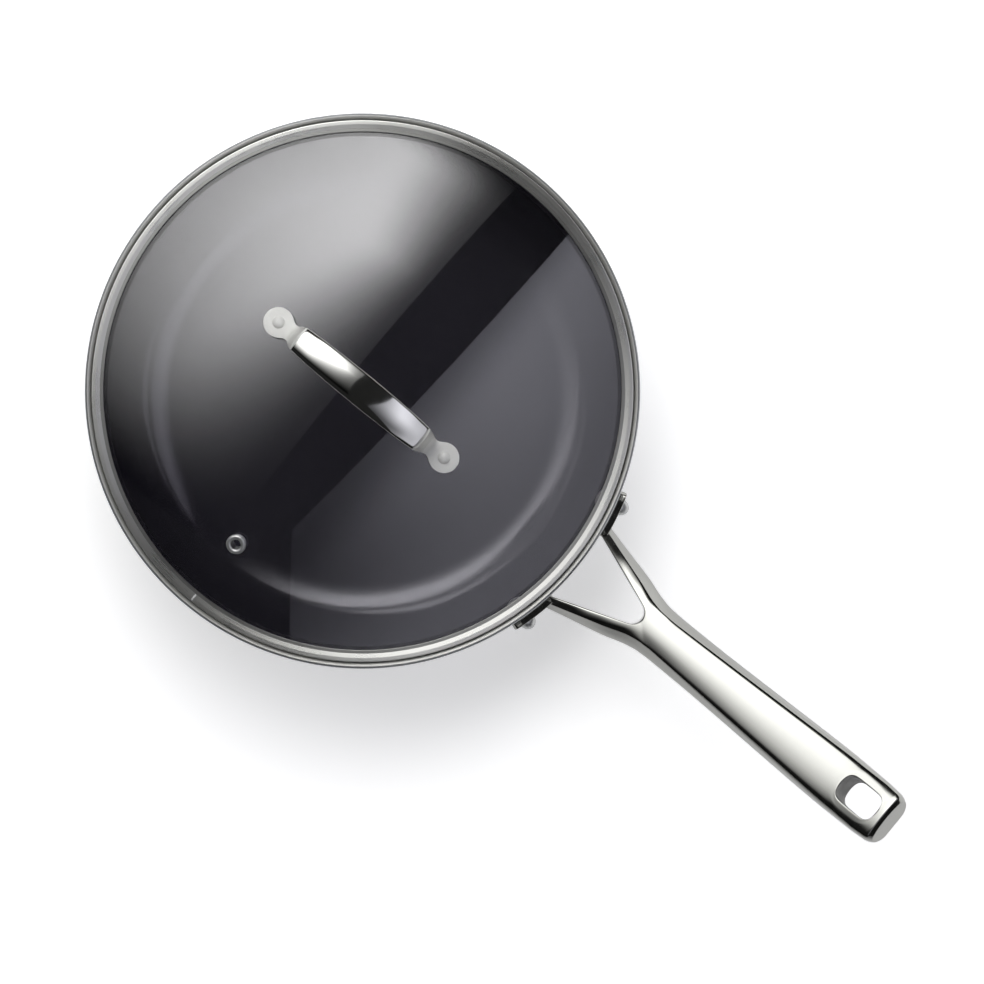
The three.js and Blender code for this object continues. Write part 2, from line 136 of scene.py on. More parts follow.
class LidSizes(bpy.types.PropertyGroup):
    """The glass, its band and what is riveted to it."""

    lid_play: length("Lid play", "Room round the lid's skirt in the mouth", 0.8)
    band_sheet: length("Band sheet", "Thickness of the rolled strip", 0.8)
    band_round: length("Band round", "Outer rounding of the strip's bends", 0.45)
    hem_round: length("Hem round", "Of the band's folded outer edge", 0.5)
    hem_inset: length("Hem inset", "Of the fold from the brim's reach over the lip", 0.5)
    crimp_width: length("Crimp width", "Of the crimped edge inside the band's flat top", 1.8)
    crimp_edge: length("Crimp edge", "Rounding of that edge over the glass", 0.2)
    crimp_step: length("Crimp step", "From the flat top down to that edge", 0.3)
    crease_width: length("Crease width", "Of the slant from the flat top to that edge", 2.3)
    band_sink: length("Band sink", "Of the flat top under the highest line of the band", 0.85)
    brim_margin: length("Brim margin", "From the brim's edge to the lip's edge", 1.25)
    brim_rise: length("Brim rise", "From the brim's edge up to the crown", 2)
    crimp_lap: length("Crimp lap", "Lap of the band over the glass", 4.1)
    crimp_drop: length("Crimp drop", "From the crown down to the crimped edge", 0.7)
    weld_width: length("Weld width", "Of the seam where the strip's ends meet", 0.9)
    weld_rise: length("Weld rise", "Of that seam over the strip", 0.12)
    fit_gap: length("Fit gap", "Room between clamped pieces", 0.3)
    dome_radius: length("Dome radius", "Outside of the glass", 380)
    glass_thickness: length("Glass thickness", "Square to the dome", 4)
    rivet_span: length("Rivet span", "Between the two feet", 108.6)
    foot_thickness: length("Foot thickness", "Of the bridge's feet", 2.2)
    bridge_rise: length("Bridge rise", "From a foot to the top of the bridge", 31.5)
    rivet_shank: length("Rivet shank", "Radius of a lid rivet's shank", 2.4)
    rivet_head: length("Rivet head", "Radius of the head on the foot", 3.2)
    rivet_rise: length("Rivet rise", "Height of that head", 1.9)
    tail_head: length("Tail head", "Radius of the head under the glass", 4)
    tail_rise: length("Tail rise", "Height of that head", 1.6)
    upper_gasket: length("Upper gasket radius", "Between a foot and the glass", 6.8)
    upper_gasket_depth: length("Upper gasket depth", "Thickness of that gasket", 1)
    lower_gasket: length("Lower gasket radius", "Under the glass", 8)
    lower_gasket_depth: length("Lower gasket depth", "Thickness of that gasket", 1.2)
    washer: length("Washer radius", "Steel washer under the lower gasket", 7)
    washer_depth: length("Washer depth", "Thickness of that washer", 1)
    vent_inset: length("Vent inset", "From the band's inner edge to the vent", 32.1)
    vent_bore: length("Vent bore", "Radius of the steam hole", 2.5)
    vent_wall: length("Vent wall", "Thickness of the eyelet's tube", 0.8)
    vent_flange: length("Vent flange", "Radius of the eyelet's flange", 5.2)
    vent_flange_depth: length("Vent flange depth", "Thickness of that flange", 1.1)
    vent_gasket_depth: length("Vent gasket depth", "Thickness of the ring under the flange", 0.6)


class Finishes(bpy.types.PropertyGroup):
    """Colours of the surfaces."""

    coating: colour("Coating", "Sprayed non-stick coating", "#1c1b20")
    coating_fleck: colour("Coating fleck", "Mineral flecks in the coating", "#26252a")
    core: colour("Core", "Bare aluminium at the rim", "#b4b6b8")
    satin: colour("Satin steel", "Spun and brushed stainless steel", "#c6c7c6")
    handle: colour("Handle steel", "Cast stainless steel, ground and polished", "#a3a39f")
    # painted shade: the hole's wall is coloured darker than the handle's steel; its unpolished roughness
    # is its own
    bore: colour("Bore steel", "Unpolished wall of the hanging hole", "#737371")
    bridge: colour("Bridge steel", "Mirror-polished stainless steel of the lid's fittings", "#ebebe7")
    # painted light: the feet are coloured near white and made little metallic, so that they read as
    # brightly lit; their matt finish is their own
    foot: colour("Foot steel", "Blasted and passivated feet of the bridge", "#f6f6f2")
    band: colour("Band steel", "Rolled stainless strip", "#e3e3df")
    # painted shade: the crimped strip's steel is coloured greyer than the band, so that the strip reads
    # dimmer
    crimp: colour("Crimp steel", "Crimped inner edge of the strip, stained by its pressing", "#a6a6a3")
    rim: colour("Rim steel", "Bare ground edge of the bowl", "#d2d2ce")
    silicone: colour("Silicone", "Moulded gaskets", "#2c2c2e")
    glass: colour("Glass", "Clear toughened glass", "#f6f5f9")
    floor: colour("Floor", "Pale floor and backdrop", "#f2f2f2")
    fill: colour("Fill light", "Cool light of the weaker softbox", "#f4f4ff")


class StageSettings(bpy.types.PropertyGroup):
    """Camera and studio light."""

    camera_x: length("Camera X", "Camera's place along the handle", 85.1)
    camera_y: length("Camera Y", "Camera's place across the handle", 2.0)
    camera_height: length("Camera height", "Over the table", 2567)
    camera_turn: angle("Camera turn", "Turn of the picture about the vertical", 39.3)
    lens: number("Lens", "Focal length in millimetres", 176.4)
    light_height: length("Light height", "Of both softboxes over the table", 3200)
    key_radiance: number("Key radiance", "Brightest part of the key", 4.3)
    fill_radiance: number("Fill radiance", "Brightest part of the fill", 1.03)
    room_radiance: number("Room radiance", "Dark studio round it", 0.015)
    # least glow of the paper to the eye, inside its painted shadow
    floor_glow_in_painted_shadow: number("Floor glow", "Seen on the floor by the eye", 0.46)
    wall_height: length("Wall height", "Of the backdrop's far wall", 1000)


# How finely the bowl's section and the flanges are stepped
FLOOR_RINGS = 6
CORNER_STEPS = 20
LIP_STEPS = 10
RIM_STEPS = 4
FLANGE_STEPS = 10

DRILL_REACH = (-10 * MM, 15 * MM)  # of the rivets' drill, in and out from the wall's outside face

# Stations of the long handle from inside the wall to the tip, in millimetres: run outward from the
# flanges, rise of the top line over the flanges' middle, half width of the top face and of the
# widest line, and depth square to the slope
HANDLE_STATIONS = (
    (-17.4, 10.4, 28.5, 31.5, 14),
    (-1.4, 10.9, 24, 26.8, 14),
    (13.3, 12.4, 19.3, 23, 14),
    (28.5, 16.1, 14.5, 19.2, 14),
    (37, 19.3, 11.2, 16, 14.2),
    (44.6, 22.6, 9.5, 14.2, 14.5),
    (53.1, 26.1, 9.1, 13.8, 14.5),
    (80.7, 37.5, 10.1, 13.9, 15.2),
    (130, 58.2, 12, 15.2, 16.4),
    (159.6, 71.8, 13.5, 15.9, 17.2),
    (184.7, 84.2, 13.7, 15.4, 18),
    (193.3, 88.6, 13.1, 14.6, 18),
    (195.8, 89.9, 10.6, 12.8, 17.4),
)
HANDLE_START = HANDLE_STATIONS[0][0] * MM
HANDLE_TIP = HANDLE_STATIONS[-1][0] * MM
SLOPE_STEP = 3 * MM  # the slope at a run is taken over this much on both sides

# Runs of the handle's sections, in millimetres: along the legs, where those round the fork's end meet
# the sides, and along the grip
LEG_RUNS = (-17.4, -9.4, -1.4, 5.8, 13.3, 20.8, 28.5)
FORK_RUNS = (34.5, 38, 41.6, 45.1, 48.6)
GRIP_RUNS = (57, 66, 78, 92, 108, 124, 140, 153)
OPENING_EASE = 5 * MM  # from the fork's end, and from the hole, to the nearest plain section
FORK_SIDES = (9.5 * MM, 12 * MM)  # where the two sections after the fork meet the sides, past its end
LOOP_SIDES = (-13 * MM, 12.2 * MM)  # the same for the hole's first and last sections, from its middle
BEFORE_LOOP = (3 * MM, 1.2 * MM)  # the two sections before the hole, before its first at the sides
AFTER_LOOP = 0.4 * MM  # the section after it
# Sections that round off the tip, in millimetres: back from the end and down from the top line
TIP_FALLS = ((1.9, 0), (1.55, 0.04), (1.25, 0.4), (0.3, 1.9), (0.06, 2.3), (0, 2.55))
TIP_REACH = 9 * MM  # the end face lies within this of the foremost point
TIP_INSET = 1.2 * MM  # border inside the end face that keeps its edge in shape

# Shares of the handle's section
GRIP_LINE = 0.25  # first line over the grip's top, of the way from the middle to the edge
INNER_LINE = 0.3  # and its furthest place beside an opening
MIDDLE_LINE = 0.5
OUTER_LINE = 0.6  # nearest place of the last line
CORNER_SHARE = 0.3  # how far a rolled edge's corner stands out, of its round
SHOULDER_OUT = 0.92  # place of the round shoulders near the tip, of the way to the widest line
SHOULDER_DOWN = 0.65  # and their fall, of the side's overhang
WIDEST_SHARE = 0.62  # depth of the widest line, of the whole depth
LOWER_SHARE = 0.86  # depth of the line under it
LOWER_OUT = 0.55  # place of that line, of the way from the underside's edge to the widest line
BOTTOM_SHARE = 0.62  # half width of the underside, of the widest line's
LEAST_BOTTOM = 0.35  # its least beside an opening, of the width that is left there
INNER_GROWS = (6 * MM, 16 * MM)  # half gaps between which the fork's inner edge grows more round
EDGE_GROWS = (45 * MM, 120 * MM)  # runs between which the rolled edge grows from the legs' to the grip's
SHOULDER_GROWS = (135 * MM, 186 * MM)  # runs between which the sides turn into round shoulders

# Stations of the lid's bridge from its middle to the end of a foot, in millimetres: reach in from
# the rivet (none at the middle), drop from the top, half width, thickness and crown
BRIDGE_STATIONS = (
    (None, 0, 8.8, 4.6, 2.35),
    (28, 2.4, 8.3, 4.4, 2.25),
    (20, 4.6, 7.8, 4.3, 2.05),
    (15.4, 6, 7.4, 4.3, 1.9),
    (14.7, 6.4, 7.3, 4.2, 1.75),
    (14.4, 7.2, 7.2, 4.1, 1.5),
    (13.6, 10.6, 6.8, 4, 1.3),
    (12, 16, 6.2, 3.8, 1),
    (11, 23, 5.6, 3.4, 0.9),
    (10.2, 28, 5.2, 3, 0.7),
    (8.6, 30.2, 4.9, 2.4, 0.5),
    (6.6, 30.7, 5.3, 2.3, 0.4),
    (4.5, 30.9, 7, 2.2, 0.25),
    (2, 31.2, 8.1, 2.2, 0.2),
    (0, 31.5, 8.4, 2.2, 0.2),
    (-3, 31.95, 7.9, 2.2, 0.2),
    (-5.5, 32.3, 6.3, 2.2, 0.2),
    (-7.2, 32.55, 3.9, 2.2, 0.2),
    (-8.1, 32.7, 1.8, 1.8, 0.1),
)
FOOT_REACH = 10.2 * MM  # from the rivet to where the foot, painted pale as light, meets the satin leg
LEG_REACH = 14.8 * MM  # from the rivet to where that leg meets the polished top
BRIDGE_TOP = (-1, -0.9, -0.5, 0, 0.5, 0.9, 1)  # shares of the half width over the crowned face
BRIDGE_UNDER = (0.75, 0.4, -0.4, -0.75)  # the same along the flat underside
FEET = {"front": 0, "rear": math.pi}  # azimuths of the bridge's two feet

# Corners of the softboxes, in metres: along the handle and across it
KEY_EDGE = -0.27  # the side beside the camera
KEY_FAR = -4.6
KEY_END = 3.4
KEY_CORNERS = ((KEY_EDGE, -2.4), (KEY_EDGE, KEY_END), (KEY_FAR, KEY_END), (KEY_FAR, -3.3))
FILL_CORNERS = ((0.6, 3.2), (0.24, -1.58), (1.15, -3.02), (3.6, -3.02), (3.6, 3.2))
PAINTED_SHADOW_MIDDLE = (0.038, -0.046, 0)  # middle of the painted shadow on the paper, laid over the pan's real shadow
# The paper: its radius, its bend up into the wall, and its rings, in metres
PAPER_ACROSS = 6.0
PAPER_BEND = 0.6
PAPER_RING = 0.5
PAPER_RINGS = 11
PAPER_STEPS = 96


def pan_sizes():
    return bpy.context.scene.saute_pan_sizes


def lid_sizes():
    return bpy.context.scene.saute_pan_lid


def finishes():
    return bpy.context.scene.saute_pan_finishes


def stage_settings():
    return bpy.context.scene.saute_pan_stage


# Derived places of the pan and the lid


def sheet_thickness():
    p = pan_sizes()
    return p.inner_ply + p.core_ply + p.outer_ply + 2 * p.bond_line


def wall_radius(height, depth):
    """Radius of the wall at a height, at a depth into the sheet from its inside face."""
    p = pan_sizes()
    return p.mouth_radius - (p.wall_top - height) * math.tan(p.wall_draft) + depth / math.cos(p.wall_draft)


def lip_centre():
    p = pan_sizes()
    return Vector((
        p.mouth_radius + p.lip_radius * math.cos(p.wall_draft),
        p.wall_top - p.lip_radius * math.sin(p.wall_draft),
    ))


def flange_middle():
    p = pan_sizes()
    return p.wall_top - p.flange_drop - p.flange_height / 2


def handle_root():
    p = pan_sizes()
    return wall_radius(flange_middle(), sheet_thickness() + p.seat_gap + p.flange_thickness)


def loop_middle():
    return HANDLE_TIP - pan_sizes().loop_margin


def frame_at(radius, height, azimuth, tilt):
    """A frame at a place round the Z axis, with its own +Z leaning outward from the vertical."""
    turn = Matrix.Rotation(azimuth, 4, "Z")
    move = Matrix.Translation((radius, 0, height))
    return turn @ move @ Matrix.Rotation(tilt, 4, "Y")


def rivet_frame(side):
    """A frame on the wall's outside face behind a flange, square to the wall."""
    p = pan_sizes()
    radius = wall_radius(flange_middle(), sheet_thickness())
    offset = p.fork_half_width + p.flange_width - p.rivet_margin
    azimuth = side * math.asin(offset / radius)
    return frame_at(radius, flange_middle(), azimuth, QUARTER_TURN + p.wall_draft)


class LidPlaces:
    """Radii and heights of the lid that follow from the pan's mouth."""

    def __init__(self):
        p, lid = pan_sizes(), lid_sizes()
        centre = lip_centre()
        self.skirt = p.mouth_radius - lid.lid_play
        self.brim = centre.x - p.lip_radius * math.cos(p.lip_lean) - lid.brim_margin
        lip_height = centre.y + math.sqrt(p.lip_radius ** 2 - (centre.x - self.brim) ** 2)
        self.brim_height = lip_height + lid.fit_gap
        self.crown = self.brim_height + lid.brim_rise + lid.band_sheet
        self.crimp = self.skirt - lid.crimp_lap
        self.crimp_height = self.crown - lid.crimp_drop - lid.band_sheet
        self.glass = self.skirt - lid.band_sheet - lid.fit_gap
        dome_edge = math.sqrt(lid.dome_radius ** 2 - self.crimp ** 2)
        self.dome_centre = self.crimp_height - lid.fit_gap - dome_edge
        self.glass_slope = math.asin(self.glass / lid.dome_radius)
        under = lid.dome_radius - lid.glass_thickness
        self.glass_low = self.dome_centre + under * math.cos(self.glass_slope)
        self.vent = self.crimp - lid.vent_inset
        self.foot_seat = lid.upper_gasket_depth + 2 * lid.fit_gap
        self.foot_height = self.foot_seat + lid.foot_thickness

    def dome_frame(self, radius, azimuth):
        """A frame on the glass, square to the dome."""
        dome = lid_sizes().dome_radius
        tilt = math.asin(radius / dome)
        return frame_at(radius, self.dome_centre + dome * math.cos(tilt), azimuth, tilt)


# Modelling steps


def select_only(obj):
    bpy.ops.object.select_all(action="DESELECT")
    obj.select_set(True)
    bpy.context.view_layer.objects.active = obj


def start(primitive, **settings):
    """Adds a primitive with nothing else selected and opens it in edit mode."""
    bpy.ops.object.select_all(action="DESELECT")
    primitive(**settings)
    bpy.ops.object.mode_set(mode="EDIT")
    bpy.ops.mesh.select_mode(type="VERT")
    bpy.ops.mesh.select_all(action="SELECT")
    return bpy.context.object


def merge_points():
    """Merges doubled points and turns the faces outwards."""
    bpy.ops.mesh.select_all(action="SELECT")
    bpy.ops.mesh.remove_doubles(threshold=SAME_POINT)
    bpy.ops.mesh.normals_make_consistent(inside=False)


def close():
    """Merges doubled points, turns the faces outwards and leaves edit mode."""
    merge_points()
    bpy.ops.object.mode_set(mode="OBJECT")


def draw(points):
    """Draws a line of (radius, height) points in the XZ plane by extruding one point onwards."""
    obj = start(bpy.ops.mesh.primitive_plane_add, size=MM)
    bpy.ops.mesh.merge(type="CENTER")
    places = [Vector((radius, 0, height)) for radius, height in points]
    bpy.ops.transform.translate(value=places[0])
    for here, there in zip(places, places[1:]):
        bpy.ops.mesh.extrude_vertices_move(TRANSFORM_OT_translate={"value": there - here})
    return obj


def turn(points, steps):
    """Spins a line that starts and ends on the axis, or closes on itself, into a turned piece."""
    obj = draw(points)
    merge_points()
    bpy.ops.mesh.spin(steps=steps, angle=math.tau, center=(0, 0, 0), axis=(0, 0, 1))
    close()
    return obj


def turn_ring(points, steps):
    """Spins a closed section into a ring."""
    return turn([*points, points[0]], steps)


def arc(centre, radius, start_angle, end_angle, steps, rise=None):
    """Points along an arc of a circle, or of an ellipse where a rise is given too."""
    height = radius if rise is None else rise
    angles = [start_angle + (end_angle - start_angle) * i / steps for i in range(steps + 1)]
    return [(centre[0] + radius * math.cos(a), centre[1] + height * math.sin(a)) for a in angles]


def rounded(points, radius, steps=4):
    """A closed section with its corners rounded."""
    most = 0.45  # share of a side that a round may take, so that two rounds don't meet
    made = []
    count = len(points)
    for i in range(count):
        here = Vector(points[i])
        before = Vector(points[i - 1]) - here
        after = Vector(points[(i + 1) % count]) - here
        cut = min(radius, most * before.length, most * after.length)
        first = here + before.normalized() * cut
        last = here + after.normalized() * cut
        for step in range(steps + 1):
            share = step / steps
            made.append(tuple(first.lerp(here, share).lerp(here.lerp(last, share), share)))
    return made


def rod(radius, low, high):
    """A plain round cutter along Z."""
    return turn([(0, low), (radius, low), (radius, high), (0, high)], SMALL_STEPS)


def flat_ring(bore, radius, low, high, edge):
    """A flat ring with rounded edges."""
    corners = [(bore, low), (radius, low), (radius, high), (bore, high)]
    return turn_ring(rounded(corners, edge), SMALL_STEPS)


def head(radius, base, rise, steps=8):
    """A rivet head's outline from its edge to its top on the axis."""
    return [*arc((0, base), radius, 0, QUARTER_TURN, steps, rise)[:-1], (0, base + rise)]


def rivet(shank, tail, top):
    """A rivet along Z: its shank's radius, and the radius, place and rise of each of its heads."""
    ends = [(shank, tail[1]), (shank, top[1])]
    return turn([*reversed(head(*tail)), *ends, *head(*top)], SMALL_STEPS)


def place(obj, matrix):
    """Moves a piece into a frame and applies the move to its mesh."""
    select_only(obj)
    obj.matrix_world = matrix
    bpy.ops.object.transform_apply(location=True, rotation=True, scale=True)
    return obj


def modify(obj, kind, **settings):
    """Adds a modifier and applies it."""
    select_only(obj)
    modifier = obj.modifiers.new(kind.title(), kind)
    for key, value in settings.items():
        setattr(modifier, key, value)
    bpy.ops.object.modifier_apply(modifier=modifier.name)


def combine(obj, other, operation):
    """Joins another body to a piece or cuts it out of the piece."""
    modify(obj, "BOOLEAN", object=other, operation=operation, solver="EXACT")
    select_only(other)
    bpy.ops.object.delete()


def move_loop(obj, section):
    """Moves the selected loop of points onto a section."""
    mesh = bmesh.from_edit_mesh(obj.data)
    column = mesh.verts.layers.int["column"]
    for vert in mesh.verts:
        if vert.select:
            vert.co = section[vert[column]]
    bmesh.update_edit_mesh(obj.data)


def loft(sections):
    """Extrudes a filled circle from section to section, and stays in edit mode on its end face."""
    obj = start(bpy.ops.mesh.primitive_circle_add, vertices=len(sections[0]), fill_type="NGON")
    mesh = bmesh.from_edit_mesh(obj.data)
    column = mesh.verts.layers.int.new("column")
    for index, vert in enumerate(mesh.verts):
        vert[column] = index
    move_loop(obj, sections[0])
    for section in sections[1:]:
        bpy.ops.mesh.extrude_region_move()
        move_loop(obj, section)
    return obj


def select_faces(obj, test):
    """Selects the faces of the open piece that pass a test."""
    bpy.ops.mesh.select_mode(type="FACE")
    bpy.ops.mesh.select_all(action="DESELECT")
    mesh = bmesh.from_edit_mesh(obj.data)
    for face in mesh.faces:
        face.select_set(test(face))
    mesh.select_flush_mode()
    bmesh.update_edit_mesh(obj.data)


def finish_piece(obj, name, finish, body, slot, *nodes):
    """Names a piece, shades it, gives it its finish, ties it to its body and hides the frame's parts that
    it stands for. Its slot is not used.
    """
    select_only(obj)
    bpy.ops.object.shade_smooth_by_angle(angle=SHARP_ANGLE)
    obj.name = name
    obj.data.name = name
    obj.data.materials.clear()
    obj.data.materials.append(material_for(finish))
    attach(obj, body)
    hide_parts(*nodes)


def paint(obj, finish, test):
    """Gives the faces whose middles and normals pass a test another finish."""
    obj.data.materials.append(material_for(finish))
    index = len(obj.data.materials) - 1
    for polygon in obj.data.polygons:
        if test(polygon.center, polygon.normal):
            polygon.material_index = index


# Materials


def add_node(tree, kind, links=None, **settings):
    """Adds a node, sets its properties and inputs, and links what feeds it: an output, or a node that
    stands for its first output."""
    node = tree.nodes.new(kind)
    for key, value in settings.items():
        setattr(node, key, value)
    for socket, value in (links or {}).items():
        if isinstance(value, bpy.types.Node):
            value = value.outputs[0]
        if isinstance(value, bpy.types.NodeSocket):
            tree.links.new(value, node.inputs[socket])
        else:
            node.inputs[socket].default_value = value
    return node


def new_material(name, build, *values):
    """A material of the shader that build makes over the piece's own coordinates."""
    material = bpy.data.materials.new(name)
    material.use_nodes = True
    tree = material.node_tree
    tree.nodes.clear()
    place_on = add_node(tree, "ShaderNodeTexCoord").outputs["Object"]
    add_node(tree, "ShaderNodeOutputMaterial", {"Surface": build(tree, place_on, *values)})
    return material


def rgba(rgb):
    return (*rgb, 1)


NOISE_RANGE = (0.3, 0.7)  # holds nearly all values of a noise pattern


def surface(tree, looks, rough=None, relief=None, span=NOISE_RANGE):
    """The shader of a finish. Rough is a pattern with the least and the most roughness over a span of
    its values, and relief is a pattern with its strength and its depth."""
    if rough:
        pattern, least, most = rough
        looks["Roughness"] = add_node(
            tree, "ShaderNodeMapRange",
            {"Value": pattern, "From Min": span[0], "From Max": span[1], "To Min": least, "To Max": most},
        )
    if relief:
        pattern, strength, depth = relief
        looks["Normal"] = add_node(
            tree, "ShaderNodeBump", {"Height": pattern, "Strength": strength, "Distance": depth}
        )
    return add_node(tree, "ShaderNodeBsdfPrincipled", looks)


def sprayed_coating(tree, place_on):
    """Sprayed and baked non-stick coating: dark, satin, with a fine orange peel and grey flecks."""
    peel_size = 1.6 * MM  # bumps of the sprayed film, drawn coarse enough to show
    fleck_size = 0.9 * MM
    peel = add_node(tree, "ShaderNodeTexNoise", {"Vector": place_on, "Scale": 1 / peel_size, "Detail": 2})
    fleck = add_node(tree, "ShaderNodeTexVoronoi", {"Vector": place_on, "Scale": 1 / fleck_size})
    # a fleck has half its colour's strength in its middle and fades out to its edge
    near = add_node(
        tree, "ShaderNodeMapRange",
        {"Value": fleck, "From Min": 0.12, "From Max": 0.3, "To Min": 0.5, "To Max": 0},
    )
    colours = {"A": rgba(finishes().coating), "B": rgba(finishes().coating_fleck)}
    base = add_node(tree, "ShaderNodeMix", {"Factor": near, **colours}, data_type="RGBA")
    looks = {"Base Color": base.outputs[2], "Specular IOR Level": 1.0}
    return surface(tree, looks, rough=(peel, 0.09, 0.15), relief=(peel, 0.18, 0.15 * MM))


def turned_steel(tree, place_on, base, roughness, spread, line_width, line_depth, streaks):
    """Stainless steel finished on a lathe: fine lines run round the axis and spread the gloss across."""
    smear_size = 30 * MM  # uneven pressure of the abrasive
    line_weight = 0.5  # of the lines beside the smears
    streak_range = (0.45, 1.05)  # holds nearly all values of both together
    apart = add_node(tree, "ShaderNodeSeparateXYZ", {"Vector": place_on})
    flat = add_node(tree, "ShaderNodeCombineXYZ", {"X": apart.outputs["X"], "Y": apart.outputs["Y"]})
    radius = add_node(tree, "ShaderNodeVectorMath", {0: flat}, operation="LENGTH").outputs["Value"]
    round_axis = add_node(tree, "ShaderNodeCombineXYZ", {"X": radius, "Y": apart.outputs["Z"]})
    lines = add_node(tree, "ShaderNodeTexNoise", {"Vector": round_axis, "Scale": 1 / (line_width * MM)})
    smear = add_node(tree, "ShaderNodeTexNoise", {"Vector": place_on, "Scale": 1 / smear_size})
    weighed = {0: lines, 1: line_weight, 2: smear}
    streak = add_node(tree, "ShaderNodeMath", weighed, operation="MULTIPLY_ADD")
    looks = {
        "Base Color": rgba(getattr(finishes(), base)),
        "Metallic": 1.0,
        "Anisotropic": streaks,
        "Anisotropic Rotation": 0.25,  # a quarter turn, so that the gloss spreads across the lines
        "Tangent": add_node(tree, "ShaderNodeTangent", direction_type="RADIAL", axis="Z"),
    }
    rough = (streak, roughness - spread, roughness + spread)
    return surface(tree, looks, rough, relief=(lines, 0.2, line_depth * MM), span=streak_range)


def cast_steel(tree, place_on, base, roughness, wave_size, wave_strength, metal):
    """Cast stainless steel: polished, its clear reflections waver; rough and little metallic, its pale
    colour is painted light.
    """
    wave_scale = 1 / (wave_size * MM)
    haze_size = 5 * MM  # patches that the polishing left duller
    wave = add_node(tree, "ShaderNodeTexNoise", {"Vector": place_on, "Scale": wave_scale, "Detail": 1})
    haze = add_node(tree, "ShaderNodeTexNoise", {"Vector": place_on, "Scale": 1 / haze_size, "Detail": 4})
    looks = {"Base Color": rgba(getattr(finishes(), base)), "Metallic": metal}
    rough = (haze, 0.8 * roughness, 1.2 * roughness)
    return surface(tree, looks, rough, relief=(wave, wave_strength, 0.15 * MM))


def bare_aluminium(tree, place_on):
    """Aluminium core, cut and ground at the rim: pale and dull."""
    grit = 0.8 * MM
    grain = add_node(tree, "ShaderNodeTexNoise", {"Vector": place_on, "Scale": 1 / grit})
    return surface(tree, {"Base Color": rgba(finishes().core), "Metallic": 1.0}, rough=(grain, 0.28, 0.42))


def moulded_silicone(tree, place_on):
    """Moulded silicone rubber: dark and matt, with the mould's fine texture."""
    texture = 0.6 * MM
    grain = add_node(tree, "ShaderNodeTexNoise", {"Vector": place_on, "Scale": 1 / texture})
    looks = {"Base Color": rgba(finishes().silicone)}
    return surface(tree, looks, rough=(grain, 0.5, 0.65), relief=(grain, 0.2, 0.1 * MM))


def toughened_glass(tree, place_on):
    """Clear pressed and toughened glass: sharp reflections, and it lets light through to the pan."""
    wave_size = 40 * MM  # left by the pressing
    wave = add_node(tree, "ShaderNodeTexNoise", {"Vector": place_on, "Scale": 1 / wave_size, "Detail": 1})
    tint = rgba(finishes().glass)
    looks = {
        "Base Color": tint,
        "Roughness": 0.0,
        "IOR": 1.72,  # over soda-lime's 1.52, to match the strong reflections
        "Transmission Weight": 1.0,
    }
    body = surface(tree, looks, relief=(wave, 0.05, 0.3 * MM))
    clear = add_node(tree, "ShaderNodeBsdfTransparent", {"Color": tint})
    shadow = add_node(tree, "ShaderNodeLightPath").outputs["Is Shadow Ray"]
    return add_node(tree, "ShaderNodeMixShader", {0: shadow, 1: body, 2: clear})


# The name of each finish's material and what makes it. For turned steel, its colour, roughness and the
# spread of that, width and depth of the lines in millimetres, and how far they draw the gloss out. For
# cast steel, its colour, roughness, length of the waves in millimetres, their strength, and metallic.
MATERIALS = {
    "coating": ("non_stick_coating_sprayed", sprayed_coating),
    "core": ("aluminium_core_ground", bare_aluminium),
    "silicone": ("silicone_rubber_moulded", moulded_silicone),
    "glass": ("soda_lime_glass_toughened", toughened_glass),
    # a soft sheen round the bowl
    "satin": ("stainless_spun_satin", turned_steel, "satin", 0.27, 0.06, 0.5, 0.05, 0.5),
    # long bright sweeps round the lid
    "band": ("stainless_strip_brushed", turned_steel, "band", 0.28, 0.03, 0.4, 0.02, 0.8),
    # a pale, dull line
    "rim": ("stainless_edge_ground", turned_steel, "rim", 0.5, 0.04, 0.3, 0.02, 0.6),
    # greyer than the band: painted shade on the crimped strip
    "crimp": ("stainless_strip_pressed_painted_shade", turned_steel, "crimp", 0.3, 0.03, 0.4, 0.02, 0.7),
    # nearly white, with no reflections: painted light on the feet and the lid's rivets
    "foot": ("stainless_cast_matt_painted_light", cast_steel, "foot", 0.6, 1.8, 1.0, 0.2),
    # smooth grey shades
    "leg": ("stainless_cast_satin", cast_steel, "bridge", 0.45, 8, 0.2, 1.0),
    # a soft light spot on each head
    "rivet": ("stainless_rivet_satin", cast_steel, "satin", 0.42, 6, 0.2, 1.0),
    # dull, and dark as painted shade in the hole
    "bore": ("stainless_cast_raw_painted_shade", cast_steel, "bore", 0.5, 3, 0.2, 1.0),
    # black and white streaks along the handle
    "handle": ("stainless_cast_polished", cast_steel, "handle", 0.12, 24, 0.2, 1.0),
    # a clear mirror
    "bridge": ("stainless_cast_mirror_polished", cast_steel, "bridge", 0.06, 24, 0.2, 1.0),
}
made_materials = {}


def material_for(finish):
    """The material of a finish, made once and shared."""
    if finish not in made_materials:
        made_materials[finish] = new_material(*MATERIALS[finish])
    return made_materials[finish]


# Shapes of the pan


